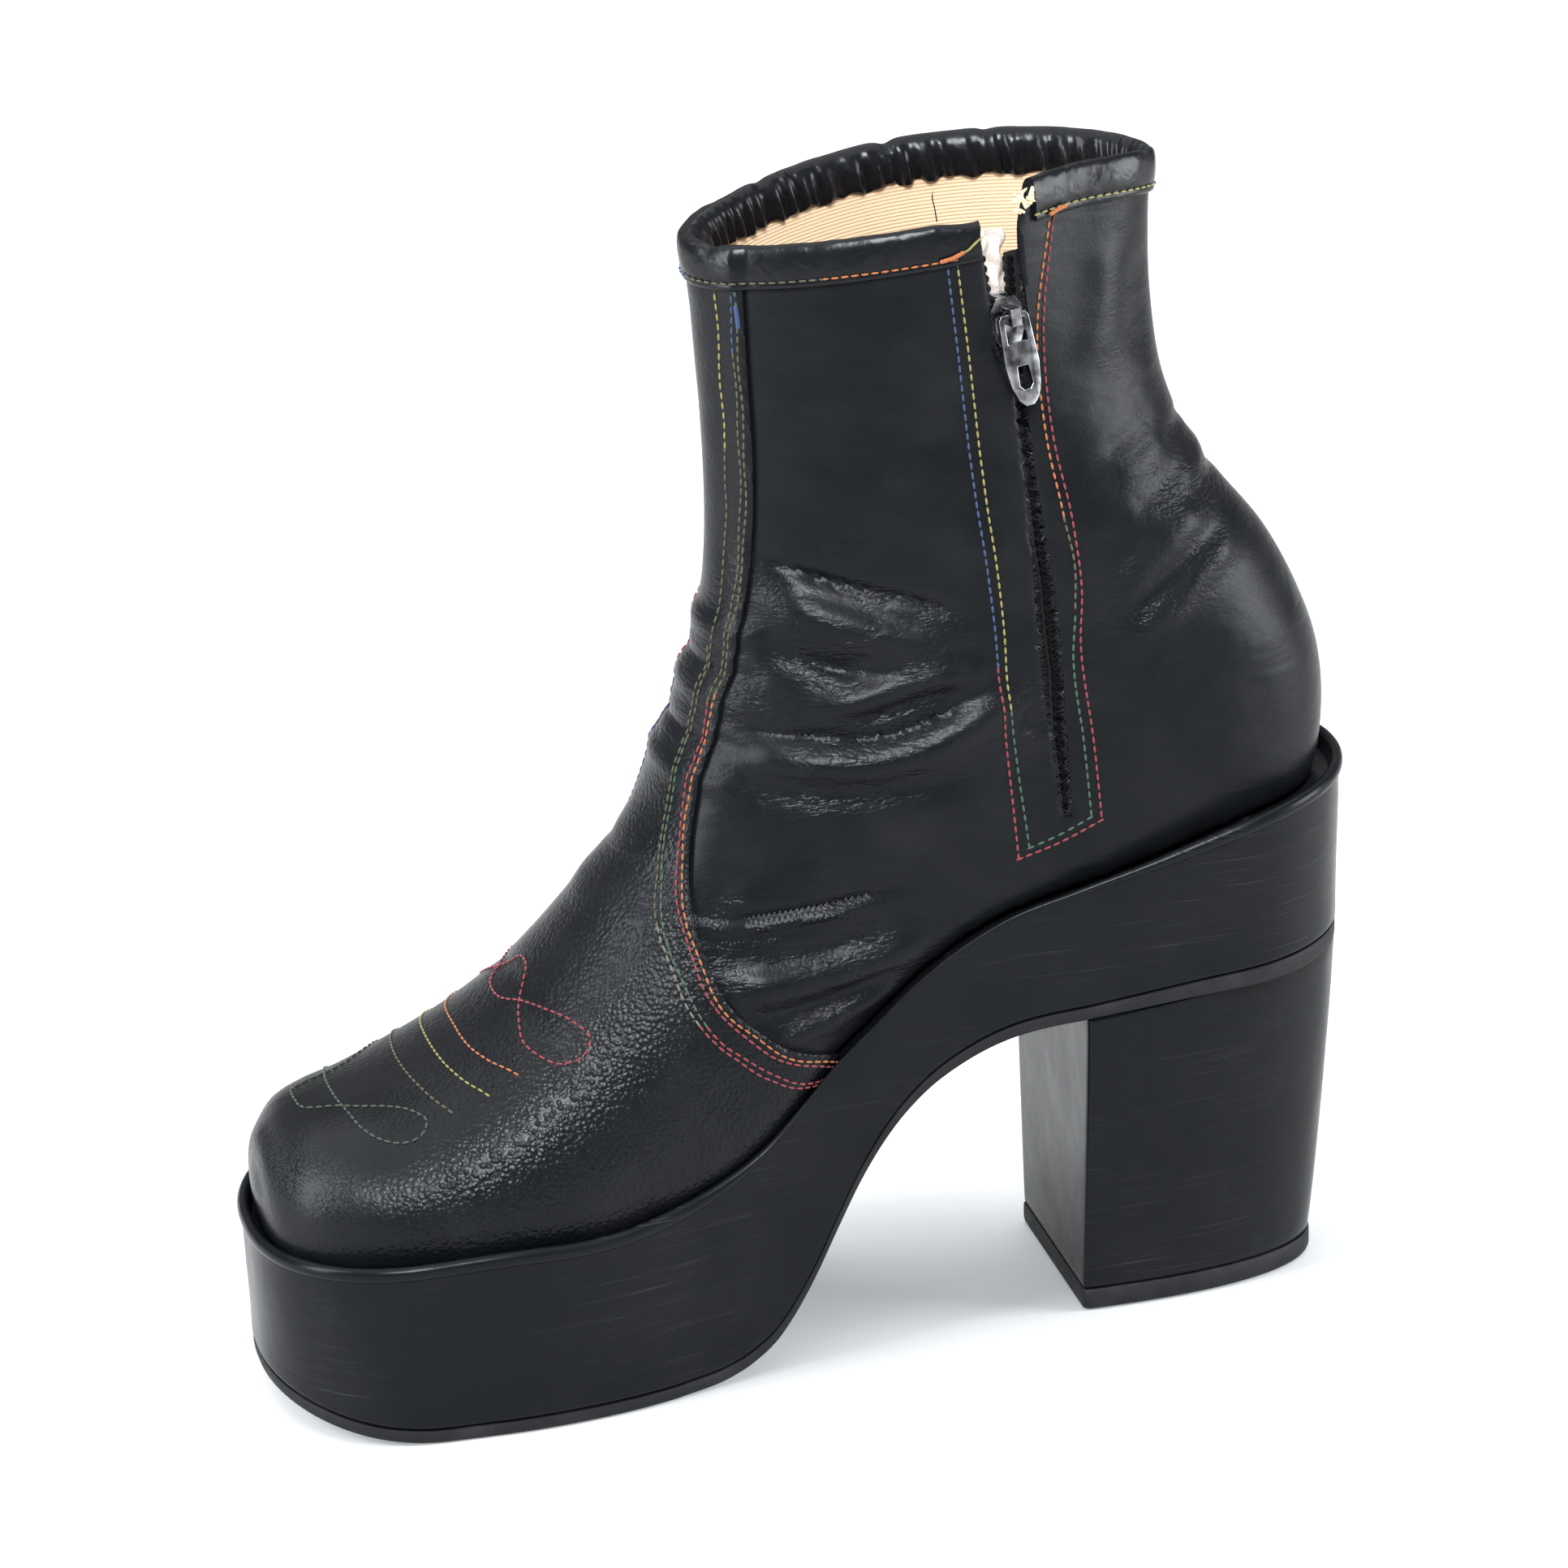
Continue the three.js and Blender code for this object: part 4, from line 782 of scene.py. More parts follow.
def pebbled_leather():
    """The vamp's leather: round pebbles about a millimetre wide, rubbed smooth at the toe."""
    finish = Finish("pebbled_leather", ink, 0.32, specular=0.15)
    place = finish.place()
    pebbles = finish.cells(finish.warped(place, 0.5, 0.9), 0.95)
    domes = finish.math("MULTIPLY", finish.span(pebbles, 0.1, 0.75, 1.0, 0.0), finish.value("grain"))
    grain = finish.noise(place, 2.2, 3, 0.6)
    cloud = finish.noise(place, 0.04, 3, 0.6)
    wear = finish.value("worn")
    scuff = finish.math("MULTIPLY", wear, finish.span(grain, 0.45, 0.62))
    finish.color(finish.mix(scuff, finish.mix(finish.span(cloud, 0.42, 0.78), ink, dusty), rubbed))
    gloss = finish.math("ADD", finish.span(cloud, 0.3, 0.75, 0.28, 0.37),
                        finish.span(grain, 0.3, 0.7, -0.04, 0.04))
    finish.rough(finish.math("ADD", gloss, finish.math("MULTIPLY", scuff, 0.2)))
    soft = finish.noise(place, 0.09, 3, 0.55, 0.4)
    coarse = crackle(finish, (0.17, 0.17, 0.62), (0, 0.5, 0), finish.value("creased"))
    finish.bump((soft, 0.35), (coarse, 0.08), (domes, 0.14), (grain, 0.03))
    return finish.material


def wrap_leather():
    """Smooth leather glued round the platform and the heel, with level scratches."""
    finish = Finish("wrap_leather", ink, 0.27, specular=0.12)
    place = finish.place()
    level = finish.noise(finish.place((0.03, 0.03, 2.4), (0, -0.06, 0)), 1.0, 4, 0.65, 0.1)
    grain = finish.noise(place, 1.6, 3, 0.6)
    cloud = finish.noise(place, 0.035, 3, 0.6)
    lines = finish.math("MULTIPLY", finish.span(level, 0.58, 0.72), finish.span(cloud, 0.38, 0.7))
    ground = finish.mix(finish.span(cloud, 0.4, 0.8), ink, wrap_dusty)
    finish.color(finish.mix(lines, ground, scratched))
    finish.rough(finish.math("ADD", finish.span(cloud, 0.3, 0.7, 0.23, 0.31),
                             finish.math("MULTIPLY", lines, 0.14)))
    dents = finish.noise(place, 0.055, 2, 0.5)
    finish.bump((dents, 0.4), (lines, 0.04), (grain, 0.016))
    return finish.material


def gloss_leather():
    """The collar's binding: thin, drawn tight over the edge and shiny."""
    finish = Finish("gloss_binding", (0.0040, 0.0046, 0.0056), 0.24, specular=0.20)
    place = finish.place()
    ripples = finish.noise(place, 0.22, 2, 0.5, 0.3)
    finish.rough(finish.span(finish.noise(place, 0.16, 3, 0.6), 0.3, 0.7, 0.2, 0.34))
    finish.bump((ripples, 0.35), (finish.noise(place, 2.0, 2, 0.5), 0.02))
    return finish.material


def black_rubber():
    finish = Finish("black_rubber", (0.008, 0.0085, 0.0095), 0.6, specular=0.2)
    place = finish.place()
    grain = finish.noise(place, 1.4, 4, 0.65)
    dust = finish.noise(place, 0.09, 3, 0.6)
    clean, dusted = (0.007, 0.0075, 0.0085), (0.020, 0.020, 0.021)
    finish.color(finish.mix(finish.span(dust, 0.45, 0.8), clean, dusted))
    finish.rough(finish.span(dust, 0.3, 0.7, 0.5, 0.68))
    facing = finish.add("ShaderNodeSeparateXYZ")
    finish.link(finish.add("ShaderNodeNewGeometry").outputs["Normal"], facing.inputs["Vector"])
    below = finish.span(facing.outputs["Z"], -0.97, -0.9, 1.0, 0.0)
    ribs = finish.add("ShaderNodeTexWave", wave_type="BANDS", bands_direction="X")
    ribs.inputs["Scale"].default_value = 0.13
    finish.link(place, ribs.inputs["Vector"])
    finish.bump((finish.math("MULTIPLY", ribs.outputs["Fac"], below), 0.5), (grain, 0.06))
    return finish.material


def knitted_cotton(name, color, shade):
    """Knitted cotton: fine ribs round the leg, with painted shade between them."""
    finish = Finish(name, color, 0.85)
    place = finish.place(source="UV")
    wave = finish.add("ShaderNodeTexWave", wave_type="BANDS", bands_direction="Y")
    wave.inputs["Scale"].default_value = 0.40
    wave.inputs["Distortion"].default_value = 0.25
    wave.inputs["Detail"].default_value = 1.0
    finish.link(place, wave.inputs["Vector"])
    threads = finish.noise(finish.place((1.2, 3.2, 1), source="UV"), 1.0, 3, 0.6)
    cloud = finish.noise(finish.place(source="UV"), 0.03, 3, 0.6)
    ribs = finish.math("ADD", wave.outputs["Fac"], finish.math("MULTIPLY", threads, 0.6))
    aged = tuple(c * 0.86 for c in color)
    ridge = finish.mix(finish.span(cloud, 0.35, 0.75), color, aged)
    # The ribs' low parts take the shade colour: painted shade between the ribs.
    finish.color(finish.mix(finish.span(ribs, 0.25, 1.35), shade, ridge))
    finish.bump((wave.outputs["Fac"], 0.10), (threads, 0.08))
    finish.set("Sheen Weight", 0.15)
    return finish.material


def zip_cloth():
    finish = Finish("zip_tape", (0.010, 0.010, 0.011), 0.88, specular=0.2)
    place = finish.place()
    finish.bump((finish.noise(finish.place((2.0, 2.0, 2.6)), 1.0, 2, 0.5), 0.12))
    # Painted shade and painted light of the weave: a darker tone for its hollows and a lighter one for its
    # raised threads, mixed by a noise.
    hollow, raised = (0.008, 0.008, 0.009), (0.022, 0.022, 0.024)
    finish.color(finish.mix(finish.noise(place, 0.8, 3, 0.6), hollow, raised))
    return finish.material


def zip_nylon():
    finish = Finish("zip_nylon", (0.006, 0.006, 0.007), 0.5, specular=0.1)
    finish.rough(finish.span(finish.noise(finish.place(), 0.9, 2, 0.5), 0.3, 0.7, 0.42, 0.6))
    return finish.material


def gun_metal():
    """Black nickel plate, rubbed a little brighter in places."""
    finish = Finish("gun_metal", (0.2, 0.2, 0.21), 0.22, metallic=1.0)
    rub = finish.noise(finish.place(), 0.28, 2, 0.5)
    finish.color(finish.mix(finish.span(rub, 0.4, 0.7), (0.12, 0.12, 0.125), (0.42, 0.42, 0.44)))
    finish.rough(finish.span(rub, 0.3, 0.7, 0.18, 0.28))
    return finish.material


def thread(name, color):
    """Twisted sewing thread; the twist is a fine wave along each stitch, with painted shade in its grooves.
    """
    finish = Finish(name, color, 0.55, specular=0.25)
    place = finish.place()
    strands = finish.noise(place, 4.5, 2, 0.5)
    # The twist's low parts are darker: painted shade in its grooves.
    dark = tuple(c * 0.45 for c in color)
    finish.color(finish.mix(finish.span(strands, 0.3, 0.6), dark, color))
    finish.bump((strands, 0.08))
    finish.set("Sheen Weight", 0.2)
    return finish.material


finishes = {
    "quarter": quarter_leather(),
    "vamp": pebbled_leather(),
    "wrap": wrap_leather(),
    "binding": gloss_leather(),
    "rubber": black_rubber(),
    # The second colour of each knit is its painted shade between the ribs.
    "lining": knitted_cotton("cream_knit", (0.74, 0.55, 0.37), (0.60, 0.41, 0.24)),
    "sock": knitted_cotton("sock_cloth", (0.62, 0.48, 0.30), (0.36, 0.26, 0.15)),
    "tape": zip_cloth(),
    "nylon": zip_nylon(),
    "metal": gun_metal(),
}
print("finishes", sorted(finishes))

# %% [markdown]
# ## The edges of the panels
# Three edges matter: the bed line where the leather goes under the platform's lip, the slot for the
# zip, and the swept edge of the vamp, which runs up the front as a strip. The vamp's edge is a
# curve in the side view, the same on both sides of the boot.

# %% Edges as numbers on the skin
def vamp_edge_line():
    x = [0.024, 0.012, -0.019, -0.049, -0.078, -0.097, -0.105, -0.1, -0.087, -0.067, -0.045,
         -0.031, -0.027, -0.029, -0.032]
    rise = [-0.02, 0.006, 0.059, 0.117, 0.178, 0.236, 0.297, 0.352, 0.408, 0.464, 0.53, 0.6, 0.7,
            0.83, 1.05]
    at = np.linspace(0, len(x) - 1, 240)
    edge_x = smooth_curve(range(len(x)), x)(at) * sole_length
    return np.stack([edge_x, bed(edge_x) + smooth_curve(range(len(x)), rise)(at) * instep_rise], 1)


vamp_edge = vamp_edge_line()
zip_shift = smooth_curve([0, 0.1, 0.25, 0.5, 0.75, 1], [0.095, 0.105, 0.125, 0.15, 0.175, 0.2])


def collar_height(x):
    """The collar's height on the inner side, straight above a place along the boot."""
    edge = flat_skin.reshape(skin.shape)[-1, : round_count // 2]
    order = np.argsort(edge[:, 0])
    return float(np.interp(x, edge[order, 0], edge[order, 2]))


zip_top = collar_height(shaft_middle + float(zip_shift(0)) * shaft_depth)


def zip_x(z):
    return shaft_middle + zip_shift((zip_top - z) / zip_length) * shaft_depth


slot_open_half, slot_shut_half = 4.3, 1.35
belly_from, belly_length, belly_width = 55, 80, 1.1
torn_behind, torn_in_front, torn_depth = 4.4, 1.2, 3.6
never_cut = 50.0


def slot_half(z):
    """Half the slot's width at a height: open above the slider, narrow and ragged below it."""
    down = zip_top - z
    under_slider = smoothstep(down, zip_open + slider_length, zip_open + slider_length + 7)
    in_belly = np.clip((down - belly_from) / belly_length, 0, 1)
    belly = belly_width * np.sin(np.pi * in_belly) ** 2
    ragged = 0.22 * np.sin(z * 1.9) + 0.16 * np.sin(z * 4.3 + 1.0) + 0.1 * np.sin(z * 8.7)
    width = slot_open_half + (slot_shut_half - slot_open_half) * under_slider
    return width + belly + ragged * (0.3 + 0.7 * under_slider)


flat_x, flat_y, flat_z = flat_skin.T
vamp_away, _ = line_distance(flat_skin[:, [0, 2]], vamp_edge)
front_of_edge = flat_x < np.interp(flat_z, vamp_edge[:, 1], vamp_edge[:, 0])
vamp_side = np.where(front_of_edge, vamp_away, -vamp_away)
above_bed = flat_z - bed(flat_x)
inner_side = flat_y < skin_middle
behind_slot = flat_x - zip_x(flat_z)
torn_width = np.where(behind_slot > 0, torn_behind, torn_in_front)
torn_corner = torn_width * np.exp(-np.maximum(zip_top + 3 - flat_z, 0) / torn_depth)
beside_slot = np.abs(behind_slot) - slot_half(flat_z) - torn_corner
below_slot = (zip_top - zip_length) - flat_z
slot_field = np.where(inner_side, np.maximum(beside_slot, below_slot), never_cut)
print("zip from", round(zip_top, 1), "to", round(zip_top - zip_length, 1))

# %% [markdown]
# ## The quarters
# The two sides and the back of the upper are thin leather sewn to the lining. They run a little way
# under the vamp and stop there, as a maker skives and laps them. The leather is cut along the zip
# and its cut edge is rough, because it was torn open and worn there.

# %% Quarters
bed_margin, lap_width = 0.4, 13.0
quarter_thickness, quarter_rounding = 1.0, 0.28
quarters = grid_sheet(
    skin, skin_normal, bed=above_bed, vamp=vamp_side, slot=slot_field, worn=skin_worn,
    creased=skin_creased)
quarters = cut(quarters, quarters["bed"] - bed_margin)
quarters = cut(quarters, lap_width - quarters["vamp"])
quarters = cut(quarters, quarters["slot"])
quarter_piece = sheet_piece(
    "quarters", thicken(quarters, quarter_thickness, quarter_rounding), finishes["quarter"],
    "worn", "creased")
seat_piece(quarter_piece, "boot", "leather_body", "upper")

# %% [markdown]
# ## The vamp
# The vamp covers the toe and climbs the front as a narrow strip. It lies on the quarters, so it is
# the same skin moved out by its own thickness and a small gap, cut along its swept edge. Its leather
# is pebbled, and the strip is smoother. The toe's tip is closed with shrinking rings and one last
# small face.

# %% Vamp
def close_toe(points, steps, bulge=0.8):
    """Rings that shrink towards the toe's middle, put before the grid's first ring."""
    first = points[0]
    middle = first.mean(axis=0)
    rings = []
    for k in range(steps, 0, -1):
        share = 1 - k / (steps + 0.35)
        ring = middle + (first - middle) * share
        ring[:, 0] -= bulge * (1 - share**2)
        rings.append(ring)
    return np.concatenate([np.array(rings), points])


vamp_out, vamp_thickness, vamp_rounding = 1.5, 1.25, 0.4
vamp_below_collar = 2.5
toe_steps = 5
outer_skin = close_toe(skin + skin_normal * vamp_out, toe_steps)
outer_normal = grid_normals(outer_skin)


def with_toe(values):
    """A field of the skin, with its first row repeated over the toe's rings."""
    values = on_grid(values)
    return np.concatenate([np.repeat(values[:1], toe_steps, axis=0), values])


scuff_x, scuff_z = -112, 56
rubbed_toe, pebbled_toe = -108, -84
strip_foot, strip_shaft = 105, 150
toe_scuff = np.exp(-(((flat_x - scuff_x) / 8) ** 2 + ((flat_z - scuff_z) / 4) ** 2))
smooth_toe = 1 - smoothstep(flat_x, rubbed_toe, pebbled_toe)
smooth_strip = smoothstep(flat_z, strip_foot, strip_shaft)
vamp_fields = {
    "bed": above_bed,
    "vamp": vamp_side,
    "down": skin_down,
    "worn": 0.25 * skin_worn.ravel() + 0.55 * toe_scuff,
    "grain": np.clip(1.0 - 0.75 * smooth_strip - 0.65 * smooth_toe, 0.2, 1),
    "creased": skin_creased,
}
vamp_fields = {key: with_toe(values) for key, values in vamp_fields.items()}
vamp_sheet = grid_sheet(outer_skin, outer_normal, **vamp_fields)
vamp_sheet["faces"].append(list(range(round_count)))
vamp_sheet = cut(vamp_sheet, vamp_sheet["bed"] - bed_margin)
vamp_sheet = cut(vamp_sheet, vamp_sheet["vamp"])
vamp_sheet = cut(vamp_sheet, vamp_sheet["down"] - vamp_below_collar)
vamp_piece = sheet_piece(
    "vamp_and_strip", thicken(vamp_sheet, vamp_thickness, vamp_rounding), finishes["vamp"],
    "worn", "grain", "creased")
seat_piece(vamp_piece, "boot", "leather_vamp", "vamp")

# %% [markdown]
# ## The lining
# Inside is a ribbed cream cloth. It is its own sheet, a little inside the leather, and it shows
# above the foot, under the binding and beside the zip. Its ribs follow its own flat coordinates.

# %% Lining
def thinned(grid):
    """Every second row, counted from the collar, and every second point round the boot."""
    return grid[::-1][::2][::-1][:, ::2]


lining_gap, crease_gap = 1.25, 0.9
slot_setback, slot_end_setback = 2.2, 2
lining_above_bed, lining_below_collar = 1.2, 1.5
behind = lining_gap + np.abs(skin_fold) + crease_gap * skin_creased
lining_skin = thinned(skin - skin_normal * behind[..., None])
lining_slot = np.maximum(beside_slot - slot_setback, below_slot - slot_end_setback)
measured_row = lining_skin[-12]
around_run = np.cumsum(
    np.linalg.norm(np.diff(measured_row, axis=0, append=measured_row[:1]), axis=1))
lining_sheet = grid_sheet(
    lining_skin, grid_normals(lining_skin), u=np.tile(around_run, (lining_skin.shape[0], 1)),
    bed=thinned(on_grid(above_bed)), down=thinned(skin_down),
    slot=thinned(on_grid(np.where(inner_side, lining_slot, never_cut))))
lining_sheet = cut(lining_sheet, lining_sheet["bed"] - lining_above_bed)
lining_sheet = cut(lining_sheet, lining_sheet["slot"])
lining_sheet = cut(lining_sheet, lining_sheet["down"] - lining_below_collar)
lining_solid = thicken(lining_sheet, 0.5, 0.1)
lining_uv = np.concatenate([lining_solid["u"], lining_solid["down"]], axis=1) * MM
lining_piece = sheet_piece("lining", lining_solid, finishes["lining"], uv=lining_uv)
seat_piece(lining_piece, "boot", "cream_sock")

# %% [markdown]
# ## The collar's binding
# A strip of thin glossy leather is folded over the top edge and sewn through. Where it turns over
# the edge it is too long for the inside of the curve, so it gathers into small puckers there. A
# closed profile is carried round the collar, and the puckers are waves that grow towards its inner
# side.

# %% Binding
def collar_arc(count, front_x, rear_x):
    """Places round the collar from the slot's front edge over the front to its rear edge."""
    half = round_count // 2
    edge = flat_skin.reshape(skin.shape)[-1]
    order = np.argsort(edge[:half, 0])
    turn = np.arange(half)[order]
    start = np.interp(front_x, edge[:half, 0][order], turn)
    end = round_count + np.interp(rear_x, edge[:half, 0][order], turn)
    at = np.linspace(start, end, count)
    low = np.floor(at).astype(int)
    share = (at - low)[:, None]

    def along_ring(values):
        values = values.reshape(round_count, -1)
        return values[low % round_count] * (1 - share) + values[(low + 1) % round_count] * share

    return along_ring


slot_x = float(zip_x(zip_top))
binding_before_slot, binding_behind_slot = 4.6, 8.4
strip_thickness = 1.35
rows_down = 6
ring_value = collar_arc(620, slot_x - binding_before_slot, slot_x + binding_behind_slot)
collar_edge = ring_value(skin[-1])
collar_out = unit_rows(ring_value(skin_normal[-1]))
collar_up = unit_rows(ring_value(skin[-1] - skin[-rows_down]))
collar_run = run_along(collar_edge)
strip_field = on_grid(vamp_side)[-rows_down]
over_strip = strip_thickness * smoothstep(ring_value(strip_field)[:, 0], -1.2, 1.5)
generator = random.Random(7)
waves = [(generator.uniform(2.6, 9.0), generator.uniform(0, 6.28), generator.uniform(0.5, 1.0))
         for _ in range(9)]


def pucker(run, stretch=1.0):
    total = sum(w * np.sin(2 * np.pi * run / (length * stretch) + phase)
                for length, phase, w in waves)
    return np.tanh(total / 1.6)


profile = [
    # out, up, pucker
    (0.25, -7.3, 0.0), (0.75, -7.3, 0.0), (1.1, -6.9, 0.0), (1.2, -6.3, 0.0),
    (0.95, -5.7, 0.0), (1.15, -5.1, 0.0), (1.25, -4.0, 0.03), (1.25, -2.6, 0.05),
    (1.2, -1.2, 0.06), (1.05, 0.2, 0.08), (0.7, 1.4, 0.1), (0.15, 2.0, 0.12), (-0.5, 2.1, 0.14),
    (-1.2, 1.8, 0.16), (-1.9, 1.2, 0.2), (-2.5, 0.3, 0.25), (-2.9, -0.9, 0.35), (-3.1, -2.3, 0.5),
    (-3.2, -3.8, 0.75), (-3.1, -5.3, 1.0), (-3.0, -6.8, 1.0), (-2.8, -7.6, 0.8), (-2.4, -7.8, 0.5),
    (-2.1, -7.2, 0.0), (-2.0, -0.6, 0.0), (0.1, -0.2, 0.0), (0.15, -6.0, 0.0),
]
rim_dents = [
    # along the collar, depth, reach
    (58, 0.7, 2.0), (97, 0.5, 1.6), (128, 0.8, 1.8), (150, 0.4, 1.5), (196, 0.6, 2.2),
]
binding_rings = []
near_front_end = 1 - smoothstep(collar_run, 2.0, 10.0)
dents = np.zeros(len(collar_run))
for at, depth, reach in rim_dents:
    dents += depth * np.exp(-(((collar_run - at) / reach) ** 2))
for out, up, gather in profile:
    swell = 0.7 * gather * pucker(collar_run + 0.25 * up, 1.0 if out < -1 else 2.2)
    raised = over_strip * (1.0 if out > 0 else 0.0)
    lower = 0.5 * pucker(collar_run + 40, 1.7) * (1.0 if up < -6.5 and out < -2 else 0.0)
    flat_top = near_front_end * (0.9 if up > 0.5 else 0.0) + (dents if up > 0 else 0)
    binding_rings.append(
        collar_edge
        + collar_out * (out + raised + swell * (1 if out > 0 else -1))[:, None]
        + collar_up * (up + lower - flat_top + (0.35 * swell if up > 0 else 0))[:, None])
binding_rings = np.array(binding_rings).transpose(1, 0, 2)


# %% Pieces from rings
def tube(rings, closed_ends=True):
    """Faces round and along a row of rings, with the two ends closed."""
    count, around = rings.shape[:2]
    index = np.arange(count * around).reshape(count, around)
    a, b = index[:-1], np.roll(index[:-1], -1, axis=1)
    c, d = np.roll(index[1:], -1, axis=1), index[1:]
    faces = np.stack([a, b, c, d], axis=2).reshape(-1, 4).tolist()
    if closed_ends:
        faces += [index[0][::-1].tolist(), index[-1].tolist()]
    return faces


def outward(piece):
    """Recalculates the normals of a closed piece, so that its faces point outwards."""
    work = bmesh.new()
    work.from_mesh(piece.data)
    bmesh.ops.recalc_face_normals(work, faces=work.faces)
    work.to_mesh(piece.data)
    work.free()
    return piece


def tube_piece(name, rings, finish, slot, *nodes, sharp_angle=50):
    """A closed piece from a row of rings, seated on the boot's body."""
    rings = np.array([[tuple(p) for p in ring] for ring in rings])
    piece = add_mesh(name, rings.reshape(-1, 3), tube(rings), finish, sharp_angle=sharp_angle)
    return seat_piece(outward(piece), "boot", slot, *nodes)


tube_piece("collar_binding_rolled", binding_rings, finishes["binding"], "gloss_binding",
           "collar_binding", sharp_angle=80)

# %% [markdown]
# ## Sole parts
# Platform, outsole, heel and top piece are stacks of rings: one outline, repeated at several
# heights and distances. A round bead runs along the platform's top edge and dies away in the waist,
# where the leather of the upper bulges over it.

# %% Rings round the sole
def stack(name, rows, finish, sharp_angle=38):
    """A closed piece from rings of equally many points, its ends closed across the middle."""
    rows = np.array(rows)
    count = rows.shape[1]
    faces = tube(rows, closed_ends=False)
    for level, turned in ((0, True), (len(rows) - 1, False)):
        first = level * count
        for i in range(count // 2):
            a, b = first + i, first + i + 1
            c, d = first + (count - i - 1) % count, first + (count - i) % count
            face = [a, b, c, d] if a != d else [a, b, c]
            if b == c:
                face = [a, b, d]
            faces.append(face[::-1] if turned else face)
    piece = add_mesh(name, rows.reshape(-1, 3), faces, finish, sharp_angle=sharp_angle)
    return outward(piece)


sole_ring, sole_way = outline_ring(440)


def sole_row(out, height):
    flat = sole_ring + sole_way * np.asarray(out, float).reshape(-1, 1)
    return np.column_stack([flat, height(sole_ring[:, 0]) + np.zeros(len(flat))])


def sole_rows(height, steps):
    """Rings at small steps out of the outline and up from one height."""
    return [sole_row(out, lambda x, r=rise: height(x) + r) for out, rise in steps]


sole_gap, toplift_gap = 0.25, 0.2


def platform_floor(x):
    return floor_line(x) + sole_gauge(x) + sole_gap


def lip_top(x):
    return bed(x) + lip_height * outline_lip(share_at(x))


def platform_level(share):
    return lambda x: platform_floor(x) + (lip_top(x) - platform_floor(x)) * share


# %% Platform
bead = np.clip(outline_lip(share_at(sole_ring[:, 0])), 0.15, 1)
platform_rows = sole_rows(
    platform_floor, [(-6.0, 0), (-2.6, 0), (-2.0, 0.2), (-1.65, 0.7), (-1.6, 1.4)])
for share, out in ((0.12, -1.6), (0.22, -1.55), (0.32, -1.45), (0.42, -1.35), (0.52, -1.2),
                   (0.62, -1.1), (0.7, -1.0), (0.78, -0.95), (0.83, -0.95)):
    platform_rows.append(sole_row(out, platform_level(share)))
for turn in range(-70, 200, 18):
    angle = math.radians(turn)
    out = -1.35 + (0.35 + bead) * math.cos(angle)
    rise = 1.7 * bead * (math.sin(angle) - 1)
    platform_rows += sole_rows(lip_top, [(out, rise)])
platform_rows += sole_rows(bed, [(-3.2, -1.2), (-6.5, -1.4)])
platform_piece = stack("platform_wrap", platform_rows, finishes["wrap"])
seat_piece(platform_piece, "boot", "leather_wrap", "platform")

# %% Outsole
def sole_top(x):
    return floor_line(x) + sole_gauge(x)


outsole_rows = sole_rows(
    floor_line, [(-7.0, 0), (-2.9, 0), (-2.2, 0.12), (-1.9, 0.5), (-1.8, 1.2)])
outsole_rows += sole_rows(sole_top, [(-1.8, -0.5), (-1.95, -0.12), (-2.6, 0), (-7.0, 0)])
outsole_piece = stack("outsole_rubber", outsole_rows, finishes["rubber"])
seat_piece(outsole_piece, "boot", "black_rubber", "outsole")

# %% [markdown]
# ## Heel
# The block heel has a flat front face and a round back. It is a little narrower at the floor. Its
# leather wrap turns round the two upright front edges with a small radius, which a running average
# along the outline gives.

# %% Heel block and top piece
breast_setback, heel_inset, widest_heel_share = 1.2, 1.8, 0.86
heel_front = (breast_share - 0.5) * sole_length + breast_setback
heel_top_half = float(half_width(np.array(widest_heel_share))) - heel_inset
heel_top_length = sole_length / 2 - heel_inset - heel_front


heel_points, heel_softening = 300, 5


def heel_outline(length, half, middle):
    angle = np.linspace(0, np.pi / 2, 400)
    side_x = heel_front + length * np.sin(angle) ** 0.8
    side_y = half * np.cos(angle) ** 0.8
    loop = np.concatenate([
        [[heel_front, 0.0]],
        np.stack([side_x, -side_y], 1),
        np.stack([side_x, side_y], 1)[::-1][1:],
    ])
    ring = even_loop(loop, heel_points)
    for _ in range(heel_softening):
        ring = (np.roll(ring, 1, 0) + 2 * ring + np.roll(ring, -1, 0)) / 4
    ring[:, 1] += middle
    return ring


def heel_row(share, grow, height):
    bulge = np.interp(share, [0, 0.12, 0.45, 0.8, 1], [0, 0.18, 0.55, 0.87, 1])
    foot_half = heel_foot_width / 2
    half = foot_half + (heel_top_half - foot_half) * bulge + grow
    length = heel_top_length - heel_lean * (1 - bulge) + grow
    ring = heel_outline(length, half, 1.5 * (1 - share))
    ring[:, 0] -= grow * 0.6 * (ring[:, 0] < heel_front + 1)
    return np.column_stack([ring, height(ring[:, 0]) + np.zeros(len(ring))])


def heel_level(share):
    foot = toplift_thickness + toplift_gap
    return lambda x: foot + (floor_line(x) - sole_gap - foot) * share


heel_rows = [heel_row(0, -3.0, heel_level(0)), heel_row(0, -0.35, heel_level(0))]
heel_rows += [heel_row(share, 0, heel_level(share)) for share in
              (0.006, 0.03, 0.08, 0.16, 0.26, 0.38, 0.5, 0.62, 0.74, 0.86, 0.95, 0.985)]
heel_rows += [heel_row(1, -0.2, heel_level(0.996)), heel_row(1, -0.8, heel_level(1)),
              heel_row(1, -3.0, heel_level(1))]
heel_piece = stack("heel_wrap", heel_rows, finishes["wrap"])
seat_piece(heel_piece, "boot", "leather_wrap", "heel_block")


def level(height):
    return lambda x: np.full_like(x, height)


